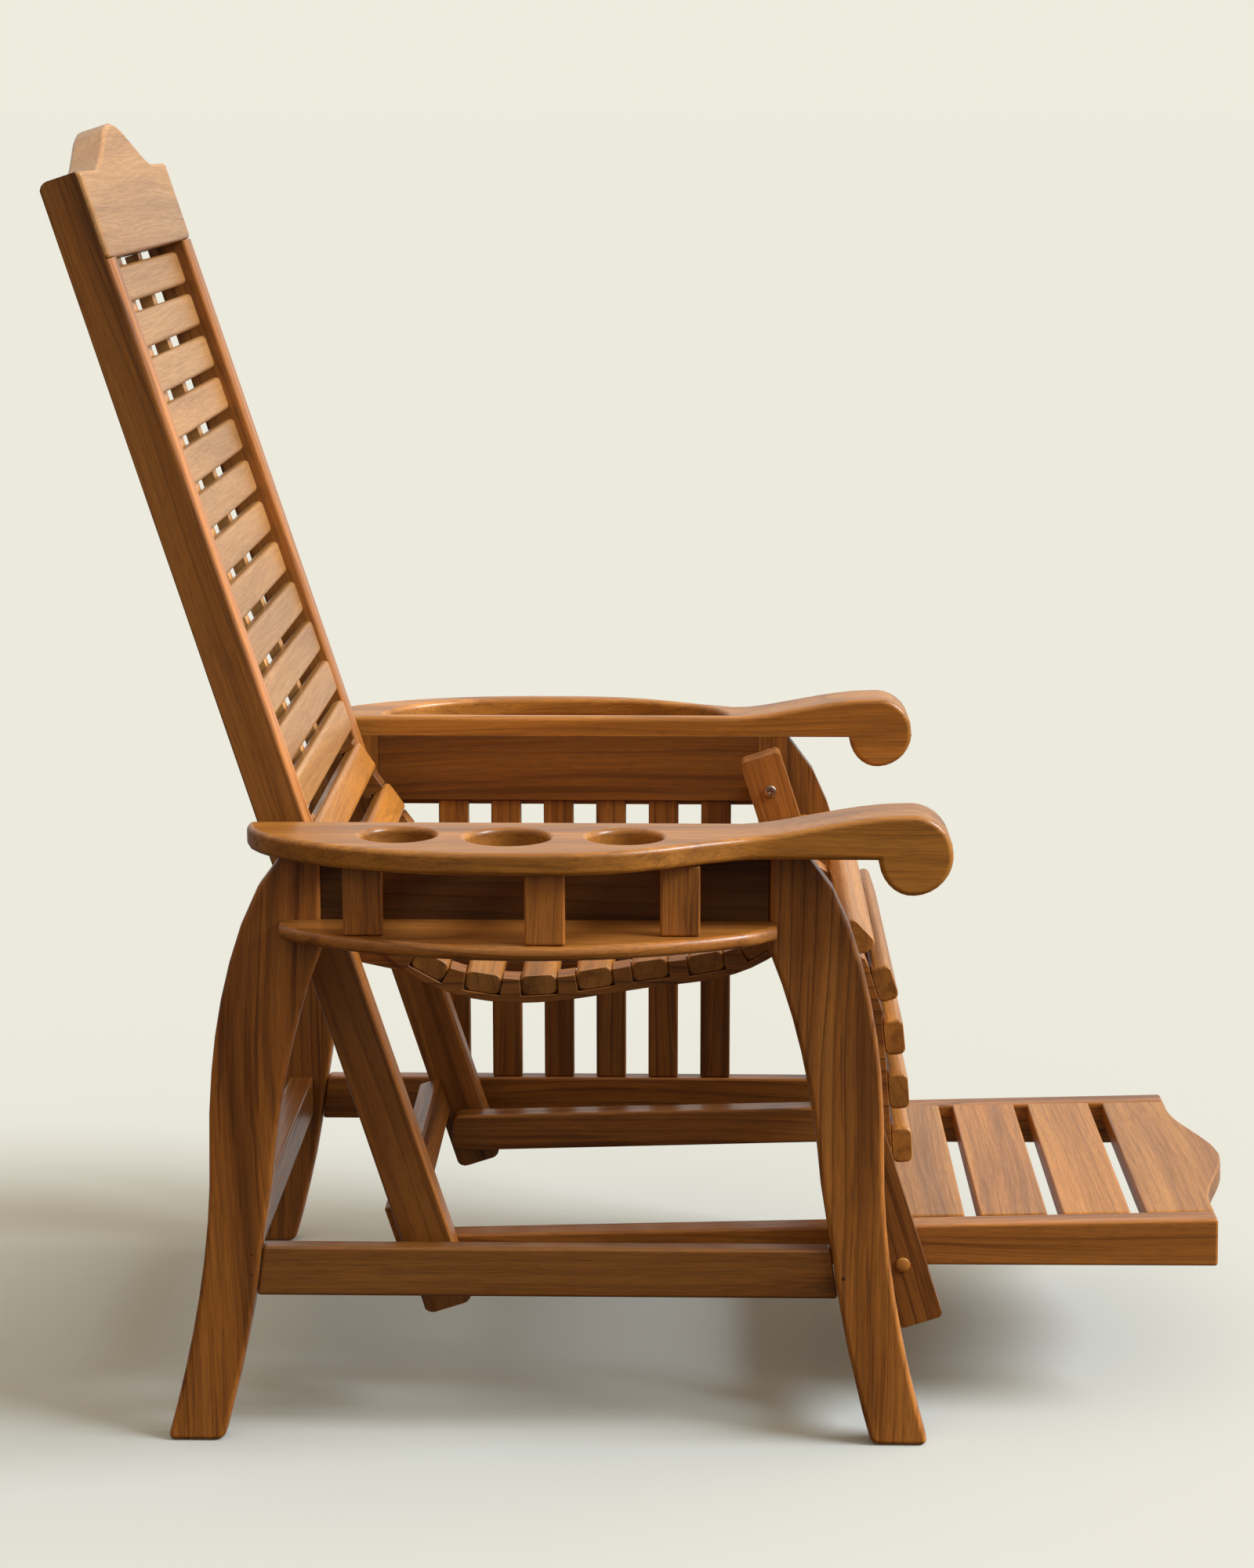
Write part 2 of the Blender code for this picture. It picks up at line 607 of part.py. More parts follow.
def swing_holes(name, side, parent):
    """Holes of a stile or link: right through for the bolt and the footrest pin, blind for the seat pin."""
    shape = bmesh.new()
    through = sided(side, LINK_INNER_Y - LINK_THICKNESS, LINK_OUTER_Y + LINK_THICKNESS)
    seat_end = RAIL_OUTER_Y + SEAT_SPIGOT_LENGTH + JOINT_GAP
    blind = sided(side, LINK_INNER_Y - LINK_THICKNESS, seat_end)
    add_pin(shape, 0.0, 0.0, BOLT_RADIUS + PIVOT_CLEARANCE, *through)
    add_pin(shape, 0.0, -SEAT_PIVOT_DROP, SPIGOT_RADIUS + PIVOT_CLEARANCE, *blind)
    add_pin(shape, 0.0, -FOOTREST_PIVOT_DROP, SPIGOT_RADIUS + PIVOT_CLEARANCE, *through)
    return make_tool(name, shape, parent)


def make_swing_arms(prefix, outline, parent):
    """A pair of bars on the pivot: the back's stiles, or the front links."""
    for name, side in SIDES:
        y = sided(side, LINK_INNER_Y, LINK_OUTER_Y)
        bar = side_prism(f"{prefix}_{name}", outline, *y, parent, TEAK)
        combine(bar, swing_holes(f"holes_{prefix}_{name}", side, parent), "DIFFERENCE")


def stile_outline():
    """Straight in front, let in at the top for the headrest, and tapering behind towards the top."""
    rear, front = -STILE_WIDTH / 2, STILE_FRONT
    low, high = -STILE_BELOW_PIVOT, STILE_ABOVE_PIVOT
    shoulder, lapped = HEADREST_BOTTOM - JOINT_GAP, front - HEADREST_LAP - JOINT_GAP
    top = [(front, shoulder), (lapped, shoulder), (lapped, high), (front - STILE_TOP_WIDTH, high)]
    return [(rear, low), (front, low), *top, (rear, STILE_TAPER_START)]


def link_outline():
    half, low, high = LINK_WIDTH / 2, -LINK_BELOW_PIVOT, LINK_ABOVE_PIVOT
    return [(-half, low), (half, low), (half, high), (-half, high)]


def make_headrest(back):
    """The top board between the stiles, with an ogee crown; its front laps over both stiles."""
    reach = LINK_OUTER_Y
    crown = []
    for y in np.linspace(-reach, reach, HEADREST_STEPS + 1):
        rise = smoothstep(1.0 - abs(y) / HEADREST_CROWN_HALF)
        crown.append((y, STILE_ABOVE_PIVOT + HEADREST_CROWN * rise))
    outline = crown + [(reach, HEADREST_BOTTOM), (-reach, HEADREST_BOTTOM)]
    shape = bmesh.new()
    rear, front = STILE_FRONT - HEADREST_THICKNESS, STILE_FRONT
    add_ring_solid(shape, [[(x, y, z) for y, z in outline] for x in (rear, front)])
    headrest = finish_mesh("headrest", shape, back, TEAK_LIGHT)
    housings = bmesh.new()
    beyond = HEADREST_THICKNESS
    x0, x1 = rear - beyond, front - HEADREST_LAP
    z0, z1 = HEADREST_BOTTOM - beyond, STILE_ABOVE_PIVOT + beyond
    for _, side in SIDES:
        y = sided(side, LINK_INNER_Y - JOINT_GAP, LINK_OUTER_Y + beyond)
        add_side_prism(housings, [(x0, z0), (x1, z0), (x1, z1), (x0, z1)], *y)
    combine(headrest, make_tool("headrest_housing_cutter", housings, back), "DIFFERENCE")


def back_slat_places():
    """Front face and middle height of each back slat: recessed at first, coming forward at the loins."""
    first = HEADREST_BOTTOM - BACK_SLAT_TOP_GAP - BACK_SLAT_WIDTH / 2
    places = []
    for i in range(BACK_SLAT_COUNT):
        ease = smoothstep((i - BACK_SLAT_COUNT + 1 + BACK_SLAT_LUMBAR_COUNT) / BACK_SLAT_LUMBAR_COUNT)
        recess = BACK_SLAT_RECESS + (BACK_SLAT_LUMBAR_RECESS - BACK_SLAT_RECESS) * ease
        places.append((STILE_FRONT - recess, first - i * BACK_SLAT_PITCH))
    return places


def make_back_panel(back):
    """The back's slats, tied into one panel by the two battens let into their rear faces."""
    places = back_slat_places()
    half = BACK_SLAT_WIDTH / 2
    reach = LINK_INNER_Y - JOINT_GAP
    section = rounded_bar(BACK_SLAT_THICKNESS, BACK_SLAT_WIDTH, BACK_SLAT_ROUND)
    slats = bmesh.new()
    for front, z in places:
        middle = front - BACK_SLAT_THICKNESS / 2
        add_side_prism(slats, [(middle + a, z + b) for a, b in section], -reach, reach)
    panel = finish_mesh("back_slat_panel", slats, back, TEAK_LIGHT)
    faces = [(front - BACK_SLAT_THICKNESS + BATTEN_HOUSING, z) for front, z in places]
    faces = [(faces[0][0], HEADREST_BOTTOM - JOINT_GAP), *faces, (faces[-1][0], places[-1][1] - half)]
    outline = faces + [(x - BATTEN_THICKNESS, z) for x, z in reversed(faces)]
    battens = bmesh.new()
    for side in (-1, 1):
        y = sided(side, BATTEN_Y - BATTEN_WIDTH / 2, BATTEN_Y + BATTEN_WIDTH / 2)
        add_side_prism(battens, outline, *y)
    combine(panel, make_tool("back_battens", battens, back), "UNION")


def make_crossbar(back):
    """The bar that ties the stiles' lower ends, behind the footrest rails."""
    reach = LINK_INNER_Y - JOINT_GAP
    bottom = -FOOTREST_PIVOT_DROP + CROSSBAR_ABOVE_PIN
    x = (-CROSSBAR_SETBACK - CROSSBAR_THICKNESS, -CROSSBAR_SETBACK)
    block("back_crossbar", x, (-reach, reach), (bottom, bottom + CROSSBAR_HEIGHT), back, TEAK)


def seat_slat_places(path):
    """Each slat's middle, direction and way up, evenly spaced along the seat's curve."""
    margin = SEAT_END_MARGIN + SEAT_SLAT_WIDTH / 2
    return [path.at(s) for s in np.linspace(margin, path.length - margin, SEAT_SLAT_COUNT)]


def placed(section, place):
    middle, along, up = place
    return [tuple(middle + along * a + up * b) for a, b in section]


def make_seat_slats(path, seat):
    reach = RAIL_OUTER_Y - SEAT_SLAT_END_INSET
    section = rounded_bar(SEAT_SLAT_WIDTH, SEAT_SLAT_THICKNESS, SEAT_SLAT_ROUND)
    for number, place in enumerate(seat_slat_places(path), 1):
        side_prism(f"seat_slat_{number:02d}", placed(section, place), -reach, reach, seat, TEAK_LIGHT)


def seat_rail_blank(path):
    """The S-shaped rail before its slat housings are cut."""
    top = SEAT_SLAT_THICKNESS / 2 - SEAT_SLAT_PROUD
    edges = []
    for offset in (top, -SEAT_RAIL_BELOW):
        line = []
        for distance in np.linspace(0.0, path.length, SEAT_RAIL_STEPS):
            point, _, up = path.at(distance)
            line.append(tuple(point + up * offset))
        edges.append(line)
    return edges[0] + edges[1][::-1]


def capsule(start, end, radius, steps=8):
    """A bar with round ends, between two points."""
    turn = math.degrees(math.atan2(end[1] - start[1], end[0] - start[0]))
    return arc(*end, radius, turn - 90, turn + 90, steps) + arc(*start, radius, turn + 90, turn + 270, steps)


def swing_point(x, drop):
    """Where a point of a swing arm lies, this far below its pivot at rest."""
    lean = math.radians(RECLINE)
    return x + drop * math.sin(lean), PIVOT_Z - drop * math.cos(lean)


def make_seat_rails(path, seat, origin):
    """S-shaped rails housed for the slats, each with a boss, a rear lug and the two pins it hangs on."""
    half = SEAT_SLAT_WIDTH / 2 + JOINT_GAP
    low, high = -SEAT_SLAT_THICKNESS / 2 - JOINT_GAP, SEAT_SLAT_THICKNESS
    housing = [(-half, low), (half, low), (half, high), (-half, high)]
    housings = bmesh.new()
    for place in seat_slat_places(path):
        add_side_prism(housings, placed(housing, place), -LINK_OUTER_Y, LINK_OUTER_Y)
    cutter = make_tool("seat_housing_cutter", housings, seat)
    blank = seat_rail_blank(path)
    rear, front = (
        tuple(Vector(swing_point(x, SEAT_PIVOT_DROP)) - origin) for x in (REAR_PIVOT_X, FRONT_PIVOT_X)
    )
    lug_end = tuple(path.at(SEAT_LUG_JOIN * path.length)[0] - Vector((0.0, SEAT_RAIL_BELOW / 2)))
    for name, side in SIDES:
        rail_y = (RAIL_OUTER_Y - SEAT_RAIL_THICKNESS, RAIL_OUTER_Y)
        rail = side_prism(f"seat_rail_{name}", blank, *sided(side, *rail_y), seat, TEAK)
        inset_y = sided(side, rail_y[0] + BOSS_SIDE_INSET, rail_y[1] - BOSS_SIDE_INSET)
        for label, outline in (
            ("boss", circle(*front, SEAT_BOSS_RADIUS)),
            ("lug", capsule(rear, lug_end, SEAT_LUG_RADIUS)),
        ):
            extra = bmesh.new()
            add_side_prism(extra, outline, *inset_y)
            combine(rail, make_tool(f"seat_{label}_{name}", extra, seat), "UNION")
        combine(rail, cutter, "DIFFERENCE")
        pin_y = sided(side, RAIL_OUTER_Y - SEAT_RAIL_THICKNESS / 2, RAIL_OUTER_Y + SEAT_SPIGOT_LENGTH)
        pins = bmesh.new()
        for x, z in (rear, front):
            add_pin(pins, x, z, SPIGOT_RADIUS, *pin_y)
        combine(rail, make_tool(f"seat_pins_{name}", pins, seat), "UNION")


def footrest_rail_outline():
    """A rail that bends down behind the front pin, in the footrest's own frame at that pin."""
    rear = -REAR_TO_FRONT_PIVOT * math.cos(math.radians(FOOTREST_TILT)) - FOOTREST_RAIL_BEHIND_PIN
    top, bend = FOOTREST_RAIL_ABOVE_PIN, -FOOTREST_RAIL_BEND_BEHIND_PIN
    round_end, steps = FOOTREST_RAIL_END_ROUND, FOOTREST_RAIL_END_STEPS
    rear_top = top - FOOTREST_RAIL_REAR_DROP
    rear_bottom = rear_top - FOOTREST_RAIL_REAR_DEPTH
    front = FOOTREST_RAIL_AHEAD
    outline = [(front, top - FOOTREST_RAIL_FRONT_DEPTH), (front, top), (bend, top)]
    outline += arc(rear + round_end, rear_top - round_end, round_end, 90, 180, steps)
    outline += arc(rear + round_end, rear_bottom + round_end, round_end, 180, 270, steps)
    return outline + [(bend, top - FOOTREST_RAIL_BEND_DEPTH)]


def make_footrest_rails(footrest):
    tilt = math.radians(FOOTREST_TILT)
    rear_pin = (-REAR_TO_FRONT_PIVOT * math.cos(tilt), REAR_TO_FRONT_PIVOT * math.sin(tilt))
    for name, side in SIDES:
        y = sided(side, RAIL_OUTER_Y - FOOTREST_RAIL_THICKNESS, RAIL_OUTER_Y)
        rail = side_prism(f"footrest_rail_{name}", footrest_rail_outline(), *y, footrest, TEAK)
        pin_y = sided(side, RAIL_OUTER_Y - FOOTREST_RAIL_THICKNESS / 2, LINK_OUTER_Y + SPIGOT_PROUD)
        pins = bmesh.new()
        for x, z in (rear_pin, (0.0, 0.0)):
            add_pin(pins, x, z, SPIGOT_RADIUS, *pin_y)
        combine(rail, make_tool(f"footrest_pins_{name}", pins, footrest), "UNION")


def footrest_nose(y):
    """How far the front board swells forward of the rails."""
    return FOOTREST_NOSE * smoothstep(1.0 - abs(y) / FOOTREST_NOSE_HALF)


def make_footrest_boards(footrest):
    """Boards set flush between the rails; the front one has an ogee nose."""
    reach = RAIL_OUTER_Y - FOOTREST_RAIL_THICKNESS - JOINT_GAP
    z = (FOOTREST_RAIL_ABOVE_PIN - FOOTREST_BOARD_THICKNESS, FOOTREST_RAIL_ABOVE_PIN)
    for i in range(FOOTREST_BOARD_COUNT):
        rear = FOOTREST_BOARD_START + i * (FOOTREST_BOARD_WIDTH + FOOTREST_BOARD_GAP)
        front = rear + FOOTREST_BOARD_WIDTH
        name = f"footrest_board_{i + 1}"
        if i < FOOTREST_BOARD_COUNT - 1:
            block(name, (rear, front), (-reach, reach), z, footrest, TEAK_LIGHT)
            continue
        across = np.linspace(reach, -reach, FOOTREST_STEPS + 1)
        nose = [(FOOTREST_RAIL_AHEAD + footrest_nose(y), y) for y in across]
        shape = bmesh.new()
        add_plan_prism(shape, [(rear, -reach), (rear, reach), *nose], *z)
        finish_mesh(name, shape, footrest, TEAK_LIGHT)


def stand_on_floor_centre(root):
    """Moves the whole chair so that the middle of its outline on the floor is the origin."""
    bpy.context.view_layer.update()
    graph = bpy.context.evaluated_depsgraph_get()
    solids = [o for o in bpy.context.scene.objects if o.type == "MESH" and not o.hide_render]
    spans = []
    for solid in solids:
        corners = solid.evaluated_get(graph).to_mesh().vertices
        spans += [(solid.matrix_world @ corner.co).x for corner in corners]
    root.location.x = -(min(spans) + max(spans)) / 2


def build():
    for thing in list(bpy.data.objects):
        bpy.data.objects.remove(thing, do_unlink=True)
    root = make_empty("chair", None)
    make_legs(root)
    make_side_boards(root)
    make_stretchers(root)
    make_arms(root)
    make_cup_shelf(root)
    make_magazine_side(root)
    make_pivot_bolts(root)

    back = make_empty("back_pivot", root, REAR_PIVOT_X, PIVOT_Z, RECLINE)
    make_swing_arms("back_stile", stile_outline(), back)
    make_headrest(back)
    make_back_panel(back)
    make_crossbar(back)

    link = make_empty("front_link_pivot", root, FRONT_PIVOT_X, PIVOT_Z, RECLINE)
    make_swing_arms("front_link", link_outline(), link)

    seat_x, seat_z = swing_point(FRONT_PIVOT_X, SEAT_PIVOT_DROP)
    seat = make_empty("seat_pivot", root, seat_x, seat_z)
    origin = Vector((seat_x, seat_z))
    knots = [Vector((REAR_PIVOT_X + share * REAR_TO_FRONT_PIVOT, z)) - origin for share, z in SEAT_PATH]
    path = SmoothPath(knots, SEAT_PATH_STEPS)
    make_seat_slats(path, seat)
    make_seat_rails(path, seat, origin)

    foot_x, foot_z = swing_point(FRONT_PIVOT_X, FOOTREST_PIVOT_DROP)
    footrest = make_empty("footrest_pivot", root, foot_x, foot_z, FOOTREST_TILT)
    make_footrest_rails(footrest)
    make_footrest_boards(footrest)
    stand_on_floor_centre(root)


build()
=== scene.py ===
"""Looks of the slatted teak easy chair: rounded boards in oiled teak, small hardware, floor and light."""

import json
import math
import random

import bmesh
import bpy
import numpy as np
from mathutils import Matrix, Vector


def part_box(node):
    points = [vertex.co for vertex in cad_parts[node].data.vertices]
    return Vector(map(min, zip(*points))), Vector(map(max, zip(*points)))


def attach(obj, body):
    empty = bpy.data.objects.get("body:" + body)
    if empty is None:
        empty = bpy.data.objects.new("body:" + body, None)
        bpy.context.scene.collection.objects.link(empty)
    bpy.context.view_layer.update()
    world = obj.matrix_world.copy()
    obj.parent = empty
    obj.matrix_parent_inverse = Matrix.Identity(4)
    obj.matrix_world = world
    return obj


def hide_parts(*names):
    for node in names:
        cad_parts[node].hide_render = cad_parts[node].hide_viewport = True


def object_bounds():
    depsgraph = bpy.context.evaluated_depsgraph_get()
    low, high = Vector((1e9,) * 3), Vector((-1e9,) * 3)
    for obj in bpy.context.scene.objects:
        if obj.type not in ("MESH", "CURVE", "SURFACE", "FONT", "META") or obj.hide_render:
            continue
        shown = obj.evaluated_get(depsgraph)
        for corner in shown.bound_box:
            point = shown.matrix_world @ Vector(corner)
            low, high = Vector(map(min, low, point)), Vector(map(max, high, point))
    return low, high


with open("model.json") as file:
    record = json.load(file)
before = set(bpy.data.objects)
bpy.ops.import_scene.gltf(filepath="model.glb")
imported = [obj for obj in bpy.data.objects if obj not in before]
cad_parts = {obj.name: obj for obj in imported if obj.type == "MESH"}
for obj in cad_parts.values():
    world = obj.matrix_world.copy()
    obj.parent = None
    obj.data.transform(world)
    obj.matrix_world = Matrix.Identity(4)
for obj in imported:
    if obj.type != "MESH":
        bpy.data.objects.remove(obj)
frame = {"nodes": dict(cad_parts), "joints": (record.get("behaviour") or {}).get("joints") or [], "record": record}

CAD_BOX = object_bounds()
NODES = frame["nodes"]
BODY_OF = {node: body for body, nodes in frame["record"]["behaviour"]["bodies"].items() for node in nodes}
JOINTS = {joint["name"]: Vector(joint["pos_m"]) for joint in frame["joints"]}

# Directions
X, Y, Z = Vector((1, 0, 0)), Vector((0, 1, 0)), Vector((0, 0, 1))
RECLINE = math.radians(18)
UP_STILE = Vector((-math.sin(RECLINE), 0, math.cos(RECLINE)))
FORWARD = Vector((math.cos(RECLINE), 0, math.sin(RECLINE)))

# Camera, from the photograph's vanishing lines
CAMERA_PLACE = (0.0316305, -3.2251623, 1.1619068)
CAMERA_TURN = (1.3805288, 0.0, 0.0201135)
LENS_MM = 80.146
SENSOR_MM = 36.0

# Studio, in linear light
BACKDROP = (0.847, 0.831, 0.723)
FLOOR_COLOUR = (0.579, 0.6005, 0.576)
FLOOR_REACH = 900.0
FLOOR_BELOW = 0.0003
KEY_DIRECTION = Vector((1.1, -0.25, 1.0))
KEY_SPREAD = math.radians(26)
KEY_STRENGTH = 3.2
KEY_COLOUR = (0.87, 0.95, 1.03)
DOME_STRENGTH = 0.75
DOME_POWER = 1.5
DOME_BELOW = 0.045
DOME_COLOUR = (1.0, 0.845, 0.65)

# Each fill's direction, strength and how narrow it is
FILLS = (
    (Vector((-0.15, -0.82, 0.50)), 0.50, 3.0),
    (Vector((1.0, 0.22, 0.30)), 2.9, 5.0),
)

# What the oiled wood mirrors, from straight away from the sheen's direction to straight towards it
SHEEN_DIRECTION = Vector((0.20, 0.50, 0.80))
SHEEN_STOPS = ((0.0, 0.012), (0.30, 0.03), (0.55, 0.21), (0.78, 0.66), (1.0, 0.86))
SHEEN_COLOUR = (1.0, 0.97, 0.92)

# Mesh clean-up and rounding
MERGE = 1e-5
FLAT_ANGLE = math.radians(0.8)
SHORT_EDGE = 0.0009
PIVOTED = ("back_stile", "front_link", "seat_rail", "footrest_rail")
PIVOT_SHORT_EDGE = 0.0003
SHARP_ANGLE = math.radians(32)
BEVEL_STEPS = 4
BEVEL_PROFILE = 0.5
HOLE_EDGE = 0.0021
SHELF_TIP_CLEAR = 0.0055
POST_FOOT = 0.002
FLUSH = 0.0008
LAP_CLEAR = 0.020
LEG_ROUND = 0.0048
LEG_CORNER = 0.0070
LEG_JOINT_CLEAR = 0.012
ON_FACE = 1e-4
STILE_ROUND = 0.0055
STILE_CORNER = 0.009
STILE_EDGE_LENGTH = 0.20
PARALLEL = 0.99

# How far each kind of board is rounded
BOARD_ROUND = 0.0008
STRETCHER_ROUND = 0.003
CROSS_STRETCHER_ROUND = 0.0025
ARM_ROUND = 0.005
LINK_ROUND = 0.0045
LINK_CORNER = 0.005
FOOTREST_RAIL_ROUND = 0.0028
FOOTREST_BOARD_ROUND = 0.0022
POST_ROUND = 0.0025
MAGAZINE_SLAT_ROUND = 0.0022
CUP_SHELF_ROUND = 0.0055
MAGAZINE_SHELF_ROUND = 0.003
HEADREST_ROUND = 0.0042
CROSSBAR_ROUND = 0.0025

# Numbers of the boards that repeat
POST_NUMBERS = range(1, 4)
MAGAZINE_SLAT_NUMBERS = range(1, 7)
FOOTREST_BOARD_NUMBERS = range(1, 5)


# A mix node's colour sockets
MIX_FIRST = 6
MIX_SECOND = 7
MIX_RESULT = 2


class Shader:
    """A node tree, with short calls for the nodes that the finishes need."""

    def __init__(self, owner):
        owner.use_nodes = True
        self.tree = owner.node_tree

    def node(self, kind, inputs=None, **settings):
        node = self.tree.nodes.new("ShaderNode" + kind)
        for name, value in settings.items():
            setattr(node, name, value)
        for socket, value in (inputs or {}).items():
            self.feed(node.inputs[socket], value)
        return node

    def feed(self, socket, value):
        if isinstance(value, bpy.types.NodeSocket):
            self.tree.links.new(value, socket)
        else:
            socket.default_value = value

    def attribute(self, name):
        return self.node("Attribute", attribute_name=name).outputs["Vector"]

    def split(self, vector):
        return self.node("SeparateXYZ", {0: vector}).outputs

    def math(self, operation, *values):
        return self.node("Math", dict(enumerate(values)), operation=operation).outputs[0]

    def vector(self, operation, *values):
        made = self.node("VectorMath", dict(enumerate(values)), operation=operation)
        return made.outputs["Value" if operation in ("LENGTH", "DOT_PRODUCT") else "Vector"]

    def scale(self, vector, amount):
        made = self.node("VectorMath", {0: vector, "Scale": amount}, operation="SCALE")
        return made.outputs["Vector"]

    def noise(self, place, scale, detail, roughness, output="Fac"):
        stretched = self.vector("MULTIPLY", place, scale)
        inputs = {"Vector": stretched, "Scale": 1.0, "Detail": detail, "Roughness": roughness}
        return self.node("TexNoise", inputs).outputs[output]

    def remap(self, value, low, high, new_low, new_high):
        inputs = {0: value, 1: low, 2: high, 3: new_low, 4: new_high}
        return self.node("MapRange", inputs, interpolation_type="SMOOTHSTEP").outputs[0]

    def ramp(self, value, stops):
        made = self.node("ValToRGB", {0: value})
        elements = made.color_ramp.elements
        while len(elements) < len(stops):
            elements.new(0.5)
        for element, (place, colour) in zip(elements, stops):
            element.position = place
            element.color = (*colour, 1.0) if isinstance(colour, tuple) else (colour, colour, colour, 1.0)
        return made.outputs["Color"]

    def mix(self, share, first, second):
        made = self.node("Mix", {0: share}, data_type="RGBA")
        self.feed(made.inputs[MIX_FIRST], first)
        self.feed(made.inputs[MIX_SECOND], second)
        return made.outputs[MIX_RESULT]


# Teak's noises: scale along and across the grain, detail and roughness
SWAY = ((1.7, 5.5, 5.5), 2.0, 0.45)
STREAKS = ((1.1, 30.0, 30.0), 3.0, 0.55)
BANDS = ((0.7, 8.0, 8.0), 1.0, 0.5)
VEINS = ((2.4, 150.0, 150.0), 2.0, 0.6)
FIBRES = ((11.0, 520.0, 520.0), 2.0, 0.6)
PORES = ((60.0, 1400.0, 1400.0), 0.0, 0.5)
NOISE_MIDDLE = (0.5, 0.5, 0.5)
ACROSS_GRAIN = (0.0, 1.0, 1.0)

# Teak's growth rings round a pith outside the board, drawn out along the grain
RING_SPACING = 0.0115
RING_LEAN = 0.007
RING_PROFILE = ((0.0, 0.30), (0.05, 0.0), (0.60, 0.06), (0.86, 0.42), (0.955, 1.0), (1.0, 0.30))
SWAY_REACH = (0.0, 0.044, 0.044)
STREAK_SHIFT = 1.5
STREAK_STOPS = (0.23, 0.48, 0.76)
VEIN_DEPTH = 0.85
KNOT_SCALE = (2.1, 10.0, 10.0)
KNOT_SWELL = 0.020

# Teak's remaps: the low and high of what comes in and, where given, what they become
KNOT_PICK = (0.80, 0.83)
KNOT_REACH = (0.02, 0.30)
KNOT_DARKENING = (0.15, 0.95, 1.0, 0.35)
LINE_BY_BAND = (0.34, 0.60, 0.25, 1.0)
VEIN_EDGE = (0.50, 0.64)
VEIN_BY_STREAK = (0.62, 0.40, 0.25, 1.0)
BAND_SHADE = (0.30, 0.70, 1.16, 0.82)
FIBRE_SPAN = (0.25, 0.75)
PORE_SHADE = (0.30, 0.46, 0.80, 1.0)

# Teak's tone, gloss and relief
FIBRE_SHADE = (0.86, 1.12)
TONE_STEP = 0.13
END_DARKENING = -0.12
# Rounded edges are painted paler: partly worn edges, partly a painted highlight
WEAR_AND_HIGHLIGHT_PALER = 0.12
DULL = 0.46
SATIN = 0.34
END_DULLER = 0.10
WEAR_GLOSSIER = -0.05
LINE_DEPTH = -0.5
BUMP_STRENGTH = 0.16
BUMP_DEPTH = 0.0006
WOOD_IOR = 1.5
OIL_WEIGHT = 0.28
OIL_ROUGHNESS = 0.24


